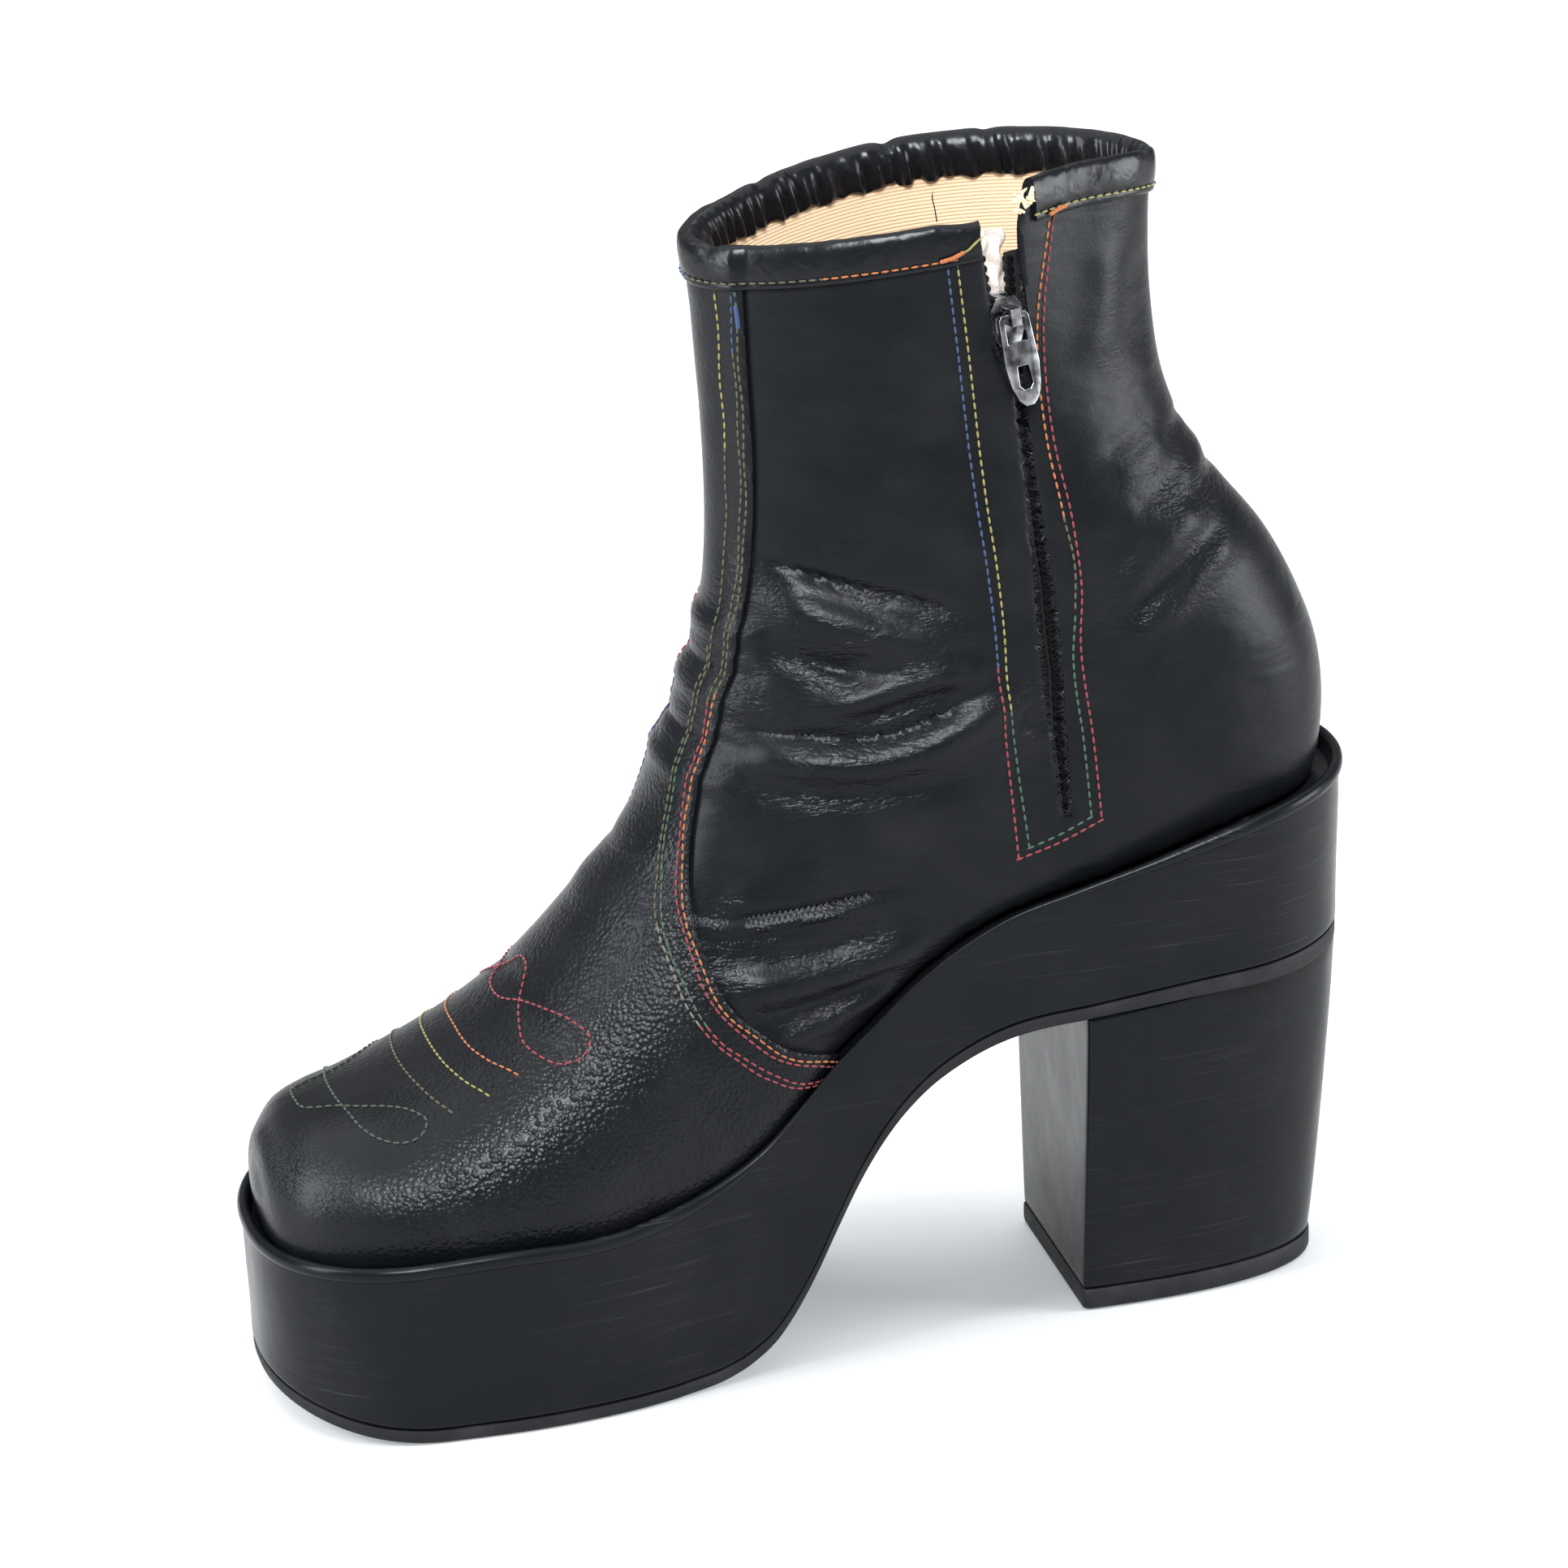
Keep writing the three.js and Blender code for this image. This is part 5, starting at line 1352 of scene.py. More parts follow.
toplift_steps = [
    # out of the heel's outline, height
    (-3.0, 0.0), (-0.6, 0.0), (0.0, 0.35), (0.3, 1.0), (0.35, 2.6), (0.3, 4.4), (0.0, 4.9),
    (-3.0, toplift_thickness),
]
toplift_rows = [heel_row(0, grow, level(height)) for grow, height in toplift_steps]
toplift_piece = stack("heel_toplift_rubber", toplift_rows, finishes["rubber"])
seat_piece(toplift_piece, "boot", "black_rubber", "heel_toplift")

# %% [markdown]
# ## Sock
# A cloth-covered sock lies on the bed, inside the upper. It is seen only from above, through the
# collar, so it is a thin domed plate with its edge tucked against the leather.

# %% Sock
leather_tree = BVHTree.FromPolygons(
    flat_skin.tolist(), grid_sheet(flat_skin.reshape(skin.shape), skin_normal)["faces"])
widest_sock, sock_gap, look_from = -6.4, 2.4, 24.0
room = np.full(len(sole_ring), widest_sock)
for i, (x, y) in enumerate(sole_ring - sole_way * look_from):
    start = Vector((x, y, float(bed(sole_ring[i, 0])) + 1.4))
    hit, _, _, away = leather_tree.ray_cast(start, Vector((*sole_way[i], 0.0)))
    if hit is not None:
        room[i] = min(room[i], away - look_from - sock_gap)
for _ in range(12):
    room = np.minimum(room, (np.roll(room, 1) + 2 * room + np.roll(room, -1)) / 4)
sock_rows = sole_rows(
    bed, [(room, 0.3), (room + 0.3, 0.9), (room, 1.7), (room - 1.0, 2.1), (room - 3.6, 2.25)])
print("sock inside the leather by", round(float(-room.max()), 1), "to", round(float(-room.min()), 1))
sock_piece = stack("sock", sock_rows, finishes["sock"])
sock_uv = sock_piece.data.uv_layers.new(name="UVMap")
for loop in sock_piece.data.loops:
    place = sock_piece.data.vertices[loop.vertex_index].co
    sock_uv.data[loop.index].uv = (place.y, place.x)
seat_piece(sock_piece, "boot", "cream_sock", "insole")

# %% [markdown]
# ## Zip
# The zip lies behind the leather: two woven tapes, two rows of teeth that stand apart above the
# slider, the slider and its pull. A cloth guard lies behind the closed teeth, and a pale fold of the
# lining stands in the zip's open top. Places beside the zip are found by looking at the skin from
# the side and stepping inwards along its normal.

# %% Places beside the zip
skin_faces = grid_sheet(skin, skin_normal)["faces"]
skin_tree = BVHTree.FromPolygons(skin.reshape(-1, 3).tolist(), skin_faces)
far_off, usual_half_width = 200.0, 27.0


def from_side(x, z, out, side=INNER):
    """The skin's point at a place in the side view, moved out along the normal, and the normal."""
    start = Vector((x, far_off * side, float(z)))
    hit, normal, _, _ = skin_tree.ray_cast(start, Vector((0, -side, 0)))
    if hit is None:
        hit, normal, _, _ = skin_tree.find_nearest(Vector((x, usual_half_width * side, z)))
    return hit + normal * out, normal


def beside_zip(across, down, out):
    z = zip_top - down
    return from_side(float(zip_x(z)) + across, z, out)


slider_end = zip_open + slider_length
chain_out = -2.65
tape_thickness, cloth_thickness = 0.6, 0.5
tape_behind_chain, guard_behind_chain, teeth_behind_chain = 0.75, 2.3, 0.9
tape_top, tooth_top = 10.2, 10.6


def spread(down):
    t = min(max((slider_end - 2 - down) / (slider_length - 2), 0), 1)
    mouth = min(max((zip_open - down) / zip_open, 0), 1)
    return 0.2 + 1.7 * t * t * (3 - 2 * t) + 1.3 * mouth


# %% Tapes
def doubled(top, normal, thickness):
    """A ring round a strip of cloth: over its top and back along its underside."""
    return top + [p - normal * thickness for p in reversed(top)]


def tape_piece(name, sign, node):
    """A woven tape, whose two edges are a little thicker than its middle."""
    rings = []
    for down in np.linspace(tape_top, zip_length + 4.5, 90):
        near = spread(down) + 0.35
        points = [beside_zip(sign * (near + a), down, chain_out - tape_behind_chain)[0]
                  for a in (0, 0.5, 3.5, 6.5, 9.5, 11.4, 11.9)]
        normal = beside_zip(sign * (near + 5), down, 0)[1]
        ring = doubled(points, normal, tape_thickness)
        for edge in (1, 5):
            ring[edge] = points[edge] + normal * 0.1
        rings.append(ring)
    return tube_piece(name, rings, finishes["tape"], "black_tape", node)


tape_piece("zip_tape_cloth_front", -1, "zip_tape_front")
tape_piece("zip_tape_cloth_rear", 1, "zip_tape_rear")


def guard_piece():
    """The cloth fold behind the closed teeth, which keeps them off the ankle."""
    rings = []
    for down in np.linspace(slider_end - 3, zip_length + 3, 70):
        across = (-5.2, -4.9, -2.5, 0.0, 2.5, 4.9, 5.2)
        top = [beside_zip(a, down, chain_out - guard_behind_chain)[0] for a in across]
        rings.append(doubled(top, beside_zip(0, down, 0)[1], cloth_thickness))
    return tube_piece("zip_guard", rings, finishes["tape"], "black_tape")


guard_piece()


def lining_fold():
    """A pale fold of the lining, which stands in the open top of the zip."""
    pale_cloth = thread("pale_cloth", (0.86, 0.76, 0.68))
    rings = []
    for down in np.linspace(5.5, 25.0, 34):
        top = []
        for across in np.linspace(-4.6, 5.2, 12):
            crumple = 0.8 * math.sin(across * 1.3 + down * 0.35) + 0.5 * math.sin(down * 0.9 - across)
            top.append(beside_zip(across + 0.3 * math.sin(down), down, -6.4 + crumple)[0])
        rings.append(doubled(top, beside_zip(0, down, 0)[1], cloth_thickness))
    return tube_piece("lining_fold", rings, pale_cloth, "cream_sock")


lining_fold()


# %% [markdown]
# ## A row of small parts along a line
# Teeth and stitches repeat along a line on the leather, which is work for Geometry Nodes. The line
# is a mesh of edges that carries the surface's outward direction. The tree resamples it, turns each
# copy along the line and up from the surface, and makes the copies real.

# %% The tree for a row
def wire(links, *joins):
    """Links between nodes, each given as from node, its output, to node, its input."""
    for source, output, target, socket in joins:
        links.new(source.outputs[output], target.inputs[socket])


def row_tree(name, shape):
    """A node tree that lays one shape along a line; shape adds its nodes and returns its mesh."""
    tree = bpy.data.node_groups.new(name, "GeometryNodeTree")
    tree.interface.new_socket("Line", in_out="INPUT", socket_type="NodeSocketGeometry")
    for label, value in (("Pitch", 0.0025), ("Length", 0.0019), ("Thickness", 0.0004)):
        socket = tree.interface.new_socket(label, in_out="INPUT", socket_type="NodeSocketFloat")
        socket.default_value = value
    tree.interface.new_socket("Finish", in_out="INPUT", socket_type="NodeSocketMaterial")
    tree.interface.new_socket("Row", in_out="OUTPUT", socket_type="NodeSocketGeometry")
    nodes, links = tree.nodes, tree.links
    start, end = nodes.new("NodeGroupInput"), nodes.new("NodeGroupOutput")
    to_curve = nodes.new("GeometryNodeMeshToCurve")
    resample = nodes.new("GeometryNodeResampleCurve")
    resample.mode = "LENGTH"
    tangent = nodes.new("GeometryNodeInputTangent")
    outward_way = nodes.new("GeometryNodeInputNamedAttribute")
    outward_way.data_type = "FLOAT_VECTOR"
    outward_way.inputs["Name"].default_value = "out"
    turn_along = nodes.new("FunctionNodeAlignRotationToVector")
    turn_along.axis = "X"
    turn_up = nodes.new("FunctionNodeAlignRotationToVector")
    turn_up.axis = "Z"
    turn_up.pivot_axis = "X"
    copies = nodes.new("GeometryNodeInstanceOnPoints")
    real = nodes.new("GeometryNodeRealizeInstances")
    dress = nodes.new("GeometryNodeSetMaterial")
    links.new(shape(nodes, links, start), copies.inputs["Instance"])
    wire(
        links,
        (start, "Line", to_curve, "Mesh"),
        (to_curve, "Curve", resample, "Curve"),
        (start, "Pitch", resample, "Length"),
        (tangent, "Tangent", turn_along, "Vector"),
        (turn_along, "Rotation", turn_up, "Rotation"),
        (outward_way, "Attribute", turn_up, "Vector"),
        (resample, "Curve", copies, "Points"),
        (turn_up, "Rotation", copies, "Rotation"),
        (copies, "Instances", real, "Geometry"),
        (real, "Geometry", dress, "Geometry"),
        (start, "Finish", dress, "Material"),
        (dress, "Geometry", end, "Row"),
    )
    return tree


def stitch_shape(nodes, links, start):
    """A plump stitch: a low ball, stretched along the line."""
    ball = nodes.new("GeometryNodeMeshUVSphere")
    ball.inputs["Segments"].default_value = 8
    ball.inputs["Rings"].default_value = 6
    ball.inputs["Radius"].default_value = 0.5
    size = nodes.new("ShaderNodeCombineXYZ")
    stretch = nodes.new("GeometryNodeTransform")
    smooth = nodes.new("GeometryNodeSetShadeSmooth")
    wire(
        links,
        (start, "Length", size, "X"),
        (start, "Thickness", size, "Y"),
        (start, "Thickness", size, "Z"),
        (ball, "Mesh", stretch, "Geometry"),
        (size, "Vector", stretch, "Scale"),
        (stretch, "Geometry", smooth, "Geometry"),
    )
    return smooth.outputs["Geometry"]


def tooth_shape(nodes, links, start):
    """A moulded tooth: a bar across the tape with a round head."""
    bar = nodes.new("GeometryNodeMeshCube")
    head = nodes.new("GeometryNodeMeshCylinder")
    head.inputs["Vertices"].default_value = 8
    size = nodes.new("ShaderNodeCombineXYZ")
    joined = nodes.new("GeometryNodeJoinGeometry")
    wire(
        links,
        (start, "Thickness", size, "X"),
        (start, "Length", size, "Y"),
        (start, "Length", size, "Z"),
        (size, "Vector", bar, "Size"),
        (start, "Thickness", head, "Radius"),
        (start, "Length", head, "Depth"),
        (bar, "Mesh", joined, "Geometry"),
        (head, "Mesh", joined, "Geometry"),
    )
    return joined.outputs["Geometry"]


stitch_tree = row_tree("stitch_row", stitch_shape)
tooth_tree = row_tree("tooth_row", tooth_shape)


# %% Laying a row
def lay_row(name, lines, tree, finish, pitch, length, thickness):
    """One plain mesh from all the lines, each a pair of points and outward directions."""
    points, ways, edges = [], [], []
    for line, way in lines:
        first = len(points)
        points += [tuple(p) for p in line]
        ways += [tuple(w) for w in way]
        edges += [(first + i, first + i + 1) for i in range(len(line) - 1)]
    mesh = bpy.data.meshes.new(name + "_line")
    mesh.from_pydata((np.array(points) * MM).tolist(), edges, [])
    attribute = mesh.attributes.new("out", "FLOAT_VECTOR", "POINT")
    attribute.data.foreach_set("vector", np.array(ways, np.float32).ravel())
    holder = new_object(name + "_line", mesh)
    modifier = holder.modifiers.new("row", "NODES")
    modifier.node_group = tree
    socket = {item.name: item.identifier for item in tree.interface.items_tree
              if item.in_out == "INPUT"}
    modifier[socket["Pitch"]] = pitch * MM
    modifier[socket["Length"]] = length * MM
    modifier[socket["Thickness"]] = thickness * MM
    modifier[socket["Finish"]] = finish
    made = evaluated_mesh(holder)
    bpy.data.objects.remove(holder)
    made.name = name
    piece = new_object(name, made)
    print(name, len(lines), "lines", len(made.polygons), "faces")
    return piece


# %% Teeth
def as_line(spots):
    """Points and outward directions, from pairs of them."""
    return np.array([tuple(p) for p, _ in spots]), np.array([tuple(n) for _, n in spots])


def tooth_line(sign, shift):
    out = chain_out - teeth_behind_chain
    downs = np.arange(tooth_top + shift, zip_length - 1.5, 1.2)
    return as_line([beside_zip(sign * (spread(d) + 1.1), d, out) for d in downs])


for label, sign, shift in (("front", -1, 0.0), ("rear", 1, 1.1)):
    teeth = lay_row("zip_teeth_moulded_" + label, [tooth_line(sign, shift)], tooth_tree,
                    finishes["nylon"], pitch=2.2, length=1.7, thickness=0.95)
    seat_piece(teeth, "boot", "black_nylon", "zip_teeth_" + label)


# %% [markdown]
# ## Frayed edges
# The slot was torn open and its edges are frayed: short black fibres stand across it, with a few
# pale ones from the thread. Each fibre is a thin cone from the leather's edge to a tip picked at
# random over the slot, and all of one colour are one mesh.

# %% Fibres along the slot
fibre_half, fibre_depth = 0.1, 0.17


def fibres(name, count, seed, reach, finish, slot):
    pick = random.Random(seed)
    points, faces = [], []
    for _ in range(count):
        down = pick.uniform(zip_open - 6, zip_length - 0.5)
        sign = pick.choice((-1, 1))
        z = zip_top - down
        edge = float(zip_x(z)) + sign * (float(slot_half(z)) + 0.15)
        root, normal = from_side(edge, z, pick.uniform(-0.9, -0.3))
        tip, _ = from_side(
            edge - sign * pick.uniform(0.3, 1.0) * reach, z + pick.uniform(-1.2, 1.2),
            pick.uniform(-1.3, 0.25))
        side = (tip - root).cross(normal).normalized() * fibre_half
        first = len(points)
        points += [tuple(p) for p in (root + side, root - side, root - normal * fibre_depth, tip)]
        faces += [[first, first + 1, first + 3], [first + 1, first + 2, first + 3],
                  [first + 2, first, first + 3], [first + 1, first, first + 2]]
    piece = add_mesh(name, points, faces, finish, smooth=False)
    return seat_piece(outward(piece), "boot", slot)


fibres("frayed_black", count=1500, seed=3, reach=1.7, finish=finishes["tape"], slot="black_tape")
pale_fibre = thread("pale_fibre", (0.13, 0.125, 0.12))
fibres("frayed_pale", count=60, seed=5, reach=1.2, finish=pale_fibre, slot="leather_body")

# %% [markdown]
# ## Slider and pull
# The metal parts keep the CAD's shape. A copy of each is merged, its flat faces are joined, and a
# small bevel breaks its edges, so that they catch the light as cast metal does.

# %% Slider and pull
def broken_edges(node, name, width):
    piece = new_object(name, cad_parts[node].data.copy())
    work = bmesh.new()
    work.from_mesh(piece.data)
    bmesh.ops.remove_doubles(work, verts=work.verts, dist=1e-6)
    bmesh.ops.dissolve_limit(work, angle_limit=math.radians(2), verts=work.verts, edges=work.edges)
    for face in work.faces:
        face.smooth = True
    work.to_mesh(piece.data)
    work.free()
    piece.data.materials.clear()
    piece.data.materials.append(finishes["metal"])
    bevel = piece.modifiers.new("edges", "BEVEL")
    bevel.width = width * MM
    bevel.segments = 3
    bevel.limit_method = "ANGLE"
    bevel.angle_limit = math.radians(32)
    bevel.harden_normals = True
    made = evaluated_mesh(piece)
    piece.modifiers.clear()
    piece.data = made
    print(name, len(made.polygons), "faces")
    return piece


seat_piece(broken_edges("zip_slider", "slider_metal", 0.22), "boot", "dark_metal", "zip_slider")
seat_piece(broken_edges("zip_pull", "pull_metal", 0.24), "pull", "dark_metal", "zip_pull")

# %% [markdown]
# ## Stitching
# The coloured stitches are the boot's trim. Rows run beside the vamp's edge and up the strip, round
# the zip, along the binding, and over the toe as a traditional western figure. Each row is a line
# laid on the leather it holds, and its thread changes colour along the way, as on the real boot.

# %% Lines on the leather
vamp_tree = BVHTree.FromPolygons(vamp_sheet["p"].tolist(), vamp_sheet["faces"])
thread_lift = 0.12


def resample(points, step):
    points = np.asarray(points, float)
    length = run_along(points)[-1]
    return placed_along(points, np.linspace(0, length, max(int(length / step), 2)))


def panel_edges(sheet):
    """The vamp's swept edge as ordered lines, one for each side of the boot, from the top."""
    on_edge = np.abs(sheet["vamp"][:, 0]) < 0.05
    follow = {a: b for a, b in open_edges(sheet["faces"]) if on_edge[a] and on_edge[b]}
    starts = set(follow) - set(follow.values())
    lines = []
    for start in starts:
        chain = [start]
        while chain[-1] in follow:
            chain.append(follow[chain[-1]])
        points = sheet["p"][chain]
        if len(points) > 40:
            lines.append(points if points[0, 2] > points[-1, 2] else points[::-1])
    return {INNER if line[:, 1].mean() < 0 else OUTER: line for line in lines}


def on_vamp(points):
    """The nearest places on the vamp, a thread's thickness above it."""
    spots = [vamp_tree.find_nearest(Vector(p)) for p in points]
    return as_line([(place + normal * thread_lift, normal) for place, normal, _, _ in spots])


def beside_edge(line, distance):
    """A line on the vamp, a distance in from its edge."""
    line = resample(line, 1.0)
    for _ in range(6):
        line[1:-1] = (line[:-2] + 2 * line[1:-1] + line[2:]) / 4
    way = unit_rows(np.gradient(line, axis=0))
    _, normal = on_vamp(line)
    inward = np.cross(normal, way)
    inward *= np.sign(-inward[:, :1])
    wander = 0.22 * np.sin(0.31 * np.arange(len(line)) + distance)
    return on_vamp(line + inward * (distance + wander)[:, None])


def between(line, high, low):
    """The part of a line between two heights."""
    points, normals = line
    keep = (points[:, 2] <= high) & (points[:, 2] >= low)
    return points[keep], normals[keep]


edges_of_vamp = panel_edges(vamp_sheet)
print("vamp edges", {side: len(line) for side, line in edges_of_vamp.items()})
sewn = {name: [] for name in ("olive", "yellow", "blue", "green", "red", "orange", "pale", "sage")}
strip_rows = [
    # side, distance from the edge, thread, from height, to height
    (INNER, 1.5, "green", 245, 236), (INNER, 1.5, "olive", 236, 152), (INNER, 1.5, "orange", 152, 60),
    (INNER, 2.7, "blue", 245, 226), (INNER, 2.7, "olive", 226, 150), (INNER, 2.7, "red", 150, 60),
    (INNER, 6.6, "yellow", 245, 205), (INNER, 6.6, "olive", 205, 140), (INNER, 6.6, "green", 140, 84),
    (INNER, 6.6, "red", 84, 60), (INNER, 7.8, "olive", 160, 104), (INNER, 7.8, "pale", 104, 84),
    (INNER, 7.8, "red", 84, 60),
    (OUTER, 1.5, "yellow", 245, 105), (OUTER, 1.5, "green", 105, 60), (OUTER, 2.7, "orange", 245, 140),
    (OUTER, 2.7, "red", 140, 60), (OUTER, 6.6, "red", 245, 60), (OUTER, 7.8, "blue", 150, 90),
]
for side, distance, name, high, low in strip_rows:
    points, normals = between(beside_edge(edges_of_vamp[side], distance), high, low)
    if len(points) > 2:
        sewn[name].append((points, normals))

# %% Stitches round the zip
def seen_from_side(points, step=1.0, lift=thread_lift):
    line = resample(smooth_line(points, 60), step)
    return as_line([from_side(x, z, lift) for x, z in line])


zip_rows = {
    "blue": [[(32.9, 247.5), (35.0, 224.5), (37.5, 194.7), (40.4, 168.8), (41.3, 156)]],
    "yellow": [[(35.3, 244.9), (37.3, 224.3), (39.7, 194.5), (42.4, 168.8), (43.4, 147)]],
    "red": [[(41.3, 155), (42.6, 135), (44.4, 112.6)],
            [(44.7, 112.1), (54, 114.8), (63.0, 118.4)],
            [(58.4, 250), (54.7, 229.8), (55.3, 205.1), (58.6, 186), (59.8, 171.3), (59.3, 158.4),
             (61.8, 138), (63.2, 119.9)]],
    "green": [[(43.5, 145.5), (45.0, 130), (46.8, 114.8)], [(47.2, 114.4), (54, 116.6), (60.6, 119.4)],
              [(58.2, 165), (57.6, 157), (59.6, 138), (60.9, 120.5)]],
    "orange": [[(57.2, 249), (53.2, 229.8), (53.8, 205.1), (56.6, 188)]],
    "olive": [[(56.7, 187), (58.4, 178), (58.3, 168)]],
}
for name, rows in zip_rows.items():
    sewn[name] += [seen_from_side(row) for row in rows]

# %% Stitches over the toe
toe_middle = 1.3
toe_figure = {
    "red": [[(-65.9, toe_middle), (-65.7, -2.4), (-64.7, -5.8), (-62.4, -9.8), (-57.5, -19.5),
             (-53.4, -25.5), (-51.1, -29.4), (-53.1, -30.8), (-57.2, -30.0), (-61.5, -26.6), (-64.1, -21.7),
             (-63.8, -15.9), (-62.3, -9.6), (-60.2, -5.0), (-58.9, -2.0), (-58.7, toe_middle)]],
    "orange": [[(-75.0, toe_middle), (-74.9, -5.0), (-74.1, -12.0), (-71.4, -20.0), (-67.1, -26.9)]],
    "yellow": [[(-80.8, toe_middle), (-80.6, -5.0), (-79.6, -13.2), (-77.0, -21.6), (-73.7, -27.4)]],
    "olive": [[(-87.8, toe_middle), (-87.6, -4.2), (-86.0, -15.2), (-84.2, -21.5), (-81.7, -26.7)]],
    "sage": [[(-110.9, toe_middle), (-110.2, -4.9), (-102.4, -9.4), (-93.5, -16.1), (-88.7, -21.9),
               (-86.9, -26.6), (-88.7, -28.9), (-92.1, -28.8), (-95.8, -26.4), (-99.7, -20.6),
               (-101.6, -12.7), (-102.9, -2.9), (-103.0, toe_middle)]],
}


def seen_from_above(points, mirrored):
    line = resample(smooth_line(points, 80), 0.8)
    if mirrored:
        line[:, 1] = 2 * toe_middle - line[:, 1]
    spots = []
    for x, y in line:
        hit, normal, _, _ = vamp_tree.ray_cast(Vector((x, y, far_off)), Vector((0, 0, -1)))
        if hit is not None:
            spots.append((hit + normal * thread_lift, normal))
    return as_line(spots)


for name, rows in toe_figure.items():
    for row in rows:
        sewn[name] += [seen_from_above(row, False), seen_from_above(row, True)]

# %% Stitches on the binding
stitch_out, stitch_down = 1.35, 5.7
collar_middle = 2.5
binding_line = (
    collar_edge + collar_out * (stitch_out + over_strip)[:, None] - collar_up * stitch_down)
binding_inner = collar_edge[:, 1] < collar_middle
for name, keep in (
    ("orange", binding_inner & (collar_edge[:, 0] > 8) & (collar_edge[:, 0] < 35)),
    ("olive", binding_inner & (collar_edge[:, 0] <= 8)),
    ("yellow", binding_inner & (collar_edge[:, 0] > 50)),
    ("blue", ~binding_inner),
):
    picked = np.flatnonzero(keep)
    for run in np.split(picked, np.flatnonzero(np.diff(picked) > 1) + 1):
        if len(run) > 3:
            sewn[name].append((binding_line[run], collar_out[run]))

# %% Threads
threads = {
    "olive": (0.060, 0.056, 0.022), "yellow": (0.22, 0.19, 0.045), "blue": (0.020, 0.045, 0.13),
    "green": (0.026, 0.075, 0.042), "red": (0.21, 0.016, 0.026), "orange": (0.34, 0.095, 0.018),
    "pale": (0.13, 0.12, 0.09), "sage": (0.036, 0.048, 0.030),
}
stitch_pitch, stitch_length, stitch_thickness = 2.1, 1.75, 0.5
thread_finish = {}
for name, lines in sewn.items():
    thread_finish[name] = thread("thread_" + name, threads[name])
    lines = [line for line in lines if len(line[0]) > 2]
    piece = lay_row("stitches_" + name, lines, stitch_tree, thread_finish[name],
                    pitch=stitch_pitch, length=stitch_length, thickness=stitch_thickness)
    seat_piece(piece, "boot", "leather_vamp" if name in ("olive", "pale", "sage") else "leather_body")

# %% [markdown]
# ## Bartacks and loose ends
# At both flaps and on the strip, a few tight stitches lie over each other and hold a row's end. The
# zip has been repaired: a yellow end runs up the front flap, a black one stands on the rim, and the
# cream lining shows as a tuft at the rear flap. The loose ends are thin round strands along short
# given lines.

# %% Bartacks
tack_lift, tack_thickness = 1.8, 0.95
for name, color, points in (
    ("front", "orange", [(31.8, 246.1), (34.4, 246.8), (35.9, 247.5)]),
    ("rear", "orange", [(56.6, 251.7), (58.4, 252.2), (60.2, 252.4)]),
    ("strip", "blue", [(-8.4, 236.0), (-8.2, 234.0), (-8.1, 232.0)]),
):
    line = seen_from_side(points, step=0.3, lift=tack_lift)
    tack = lay_row("bartack_" + name, [line], stitch_tree, thread_finish[color],
                   pitch=0.5, length=1.3, thickness=tack_thickness)
    seat_piece(tack, "boot", "leather_body")

# %% Loose strands
strand_points = 26


def strand(name, points, radius, finish, slot):
    """A round strand along a few points, tapered at its end."""
    line = smooth_line(points, strand_points)
    way = unit_rows(np.gradient(line, axis=0))
    side = unit_rows(np.cross(way, (0.3, 0.5, 0.8)))
    up = np.cross(way, side)
    taper = np.clip(np.linspace(0, 1, strand_points)[::-1] * 5, 0.35, 1)[:, None] * radius
    around = np.linspace(0, 2 * np.pi, 6, endpoint=False)
    rings = np.stack([line + (side * math.cos(a) + up * math.sin(a)) * taper for a in around], 1)
    return tube_piece(name, rings, finish, slot)


def lifted(places):
    """Points on the inner side from their place in the side view and their height above the skin."""
    return [tuple(from_side(x, z, out)[0]) for x, z, out in places]


yellow_end = [(35.3, 244.5, 0.3), (35.6, 246.6, 0.7), (37.4, 248.2, 1.9), (38.8, 249.6, 2.2),
              (41.2, 251.0, 1.6)]
strand("loose_yellow", lifted(yellow_end), 0.24, thread_finish["yellow"], "leather_body")
cream = thread("thread_cream", (0.72, 0.62, 0.38))
tuft = random.Random(11)
for k in range(9):
    x, z = 50.6 + 0.45 * k, 253.4 + 0.42 * k
    places = [(x + tuft.uniform(-1.4, 1.2) * i, z + tuft.uniform(-0.6, 1.3) * i, tuft.uniform(-1.6, 1.0))
              for i in range(4)]
    strand("torn_lining_" + str(k), lifted(places), tuft.uniform(0.3, 0.55), cream, "cream_sock")
black_end = [(32.6, -16.6, 252.6), (32.2, -16.4, 255.6), (31.7, -16.6, 258.2), (31.9, -16.8, 259.6)]
strand("loose_black", black_end, 0.16, finishes["tape"], "black_tape")

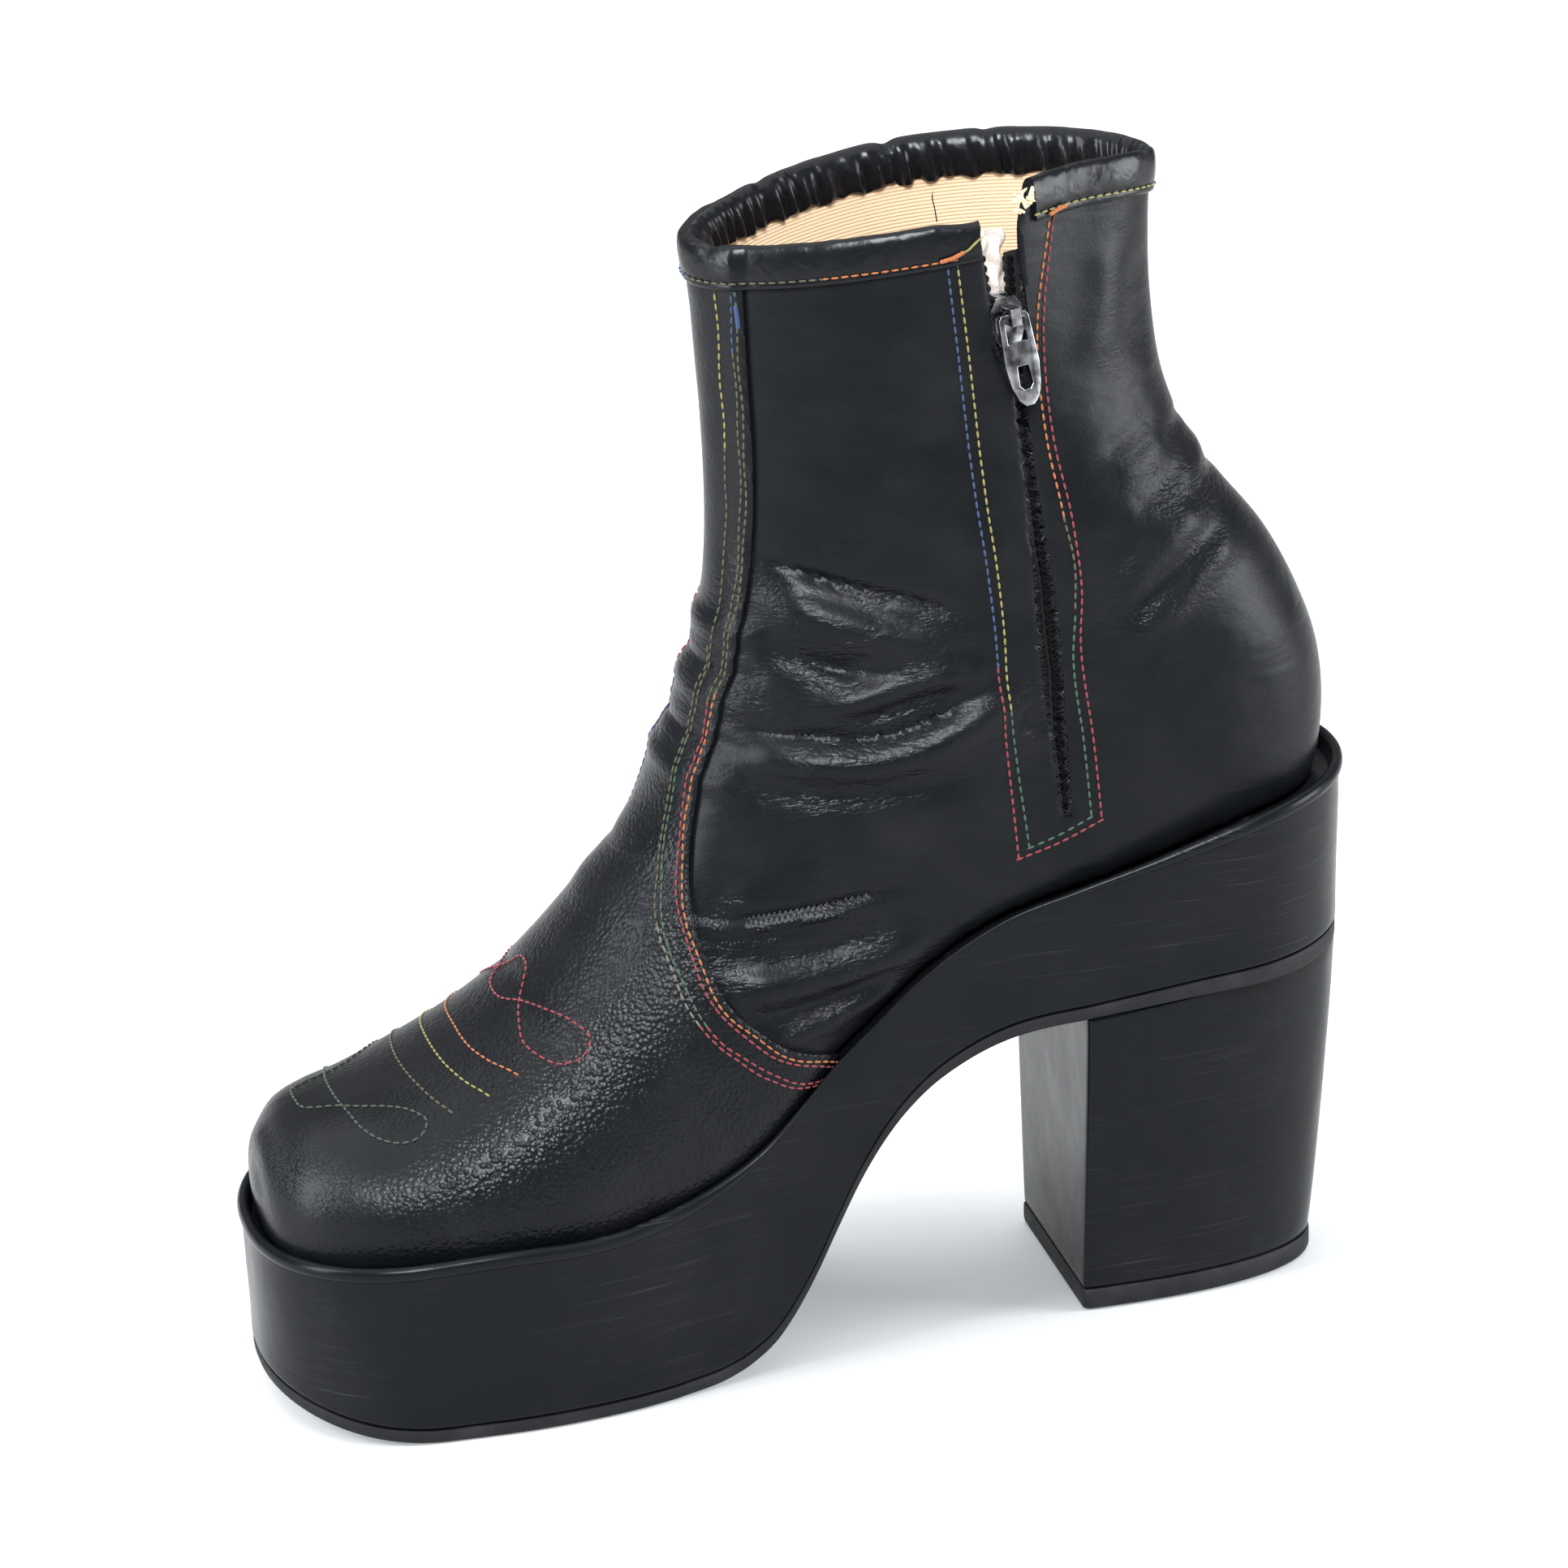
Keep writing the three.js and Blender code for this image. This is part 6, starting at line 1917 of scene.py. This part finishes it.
# %% [markdown]
# ## Floor and light
# The floor is a plain white sheet. Soft lights stand at the two sides and a broad one hangs above,
# as round a product table. Black leather shows its surroundings more than its own colour, and its
# upright walls mirror the floor in front. So the light above the camera, which draws the folds'
# gloss, is linked away from the floor, and the leather between the folds stays black.

# %% Floor and lights
floor_finish = Finish("pale_floor", (0.86, 0.86, 0.86), 0.6)
floor_finish.set("Emission Color", (0.93, 0.97, 1.0, 1))
floor_finish.set("Emission Strength", 0.26)
floor_half, floor_z = 6, -0.0002
floor_corners = [(x * floor_half, y * floor_half, floor_z)
                 for x, y in ((-1, -1), (1, -1), (1, 1), (-1, 1))]
floor_mesh = bpy.data.meshes.new("floor")
floor_mesh.from_pydata(floor_corners, [], [(0, 1, 2, 3)])
floor_mesh.materials.append(floor_finish.material)
floor = new_object("floor", floor_mesh)


def soft_light(name, place, aim, width, height, power):
    light = new_object(name, bpy.data.lights.new(name, "AREA"))
    light.data.shape = "RECTANGLE"
    light.data.size = width
    light.data.size_y = height
    light.data.energy = power
    light.data.color = (0.94, 0.97, 1.0)
    light.location = place
    light.rotation_mode = "QUATERNION"
    light.rotation_quaternion = (Vector(aim) - Vector(place)).to_track_quat("-Z", "Y")
    return light


soft_light("left", (-1.3, -0.25, 0.7), aim=(0, 0, 0.14), width=0.45, height=1.2, power=25)
soft_light("right", (1.3, -0.42, 0.42), aim=(0, 0, 0.16), width=0.6, height=0.75, power=19)
soft_light("above", (-0.1, 0.3, 1.9), aim=(0, 0, 0), width=2.6, height=2.6, power=40)
front = soft_light("front", (-0.3, -1.35, 1.5), aim=(0, 0, 0.14), width=0.6, height=0.6, power=64)
not_on_floor = bpy.data.collections.new("not_on_floor")
not_on_floor.objects.link(floor)
not_on_floor.collection_objects[0].light_linking.link_state = "EXCLUDE"
front.light_linking.receiver_collection = not_on_floor
world = bpy.data.worlds.new("world")
bpy.context.scene.world = world
world.use_nodes = True
world.node_tree.nodes["Background"].inputs["Color"].default_value = (1, 1, 1, 1)
world.node_tree.nodes["Background"].inputs["Strength"].default_value = 0.3
bpy.context.scene.view_settings.view_transform = "Standard"
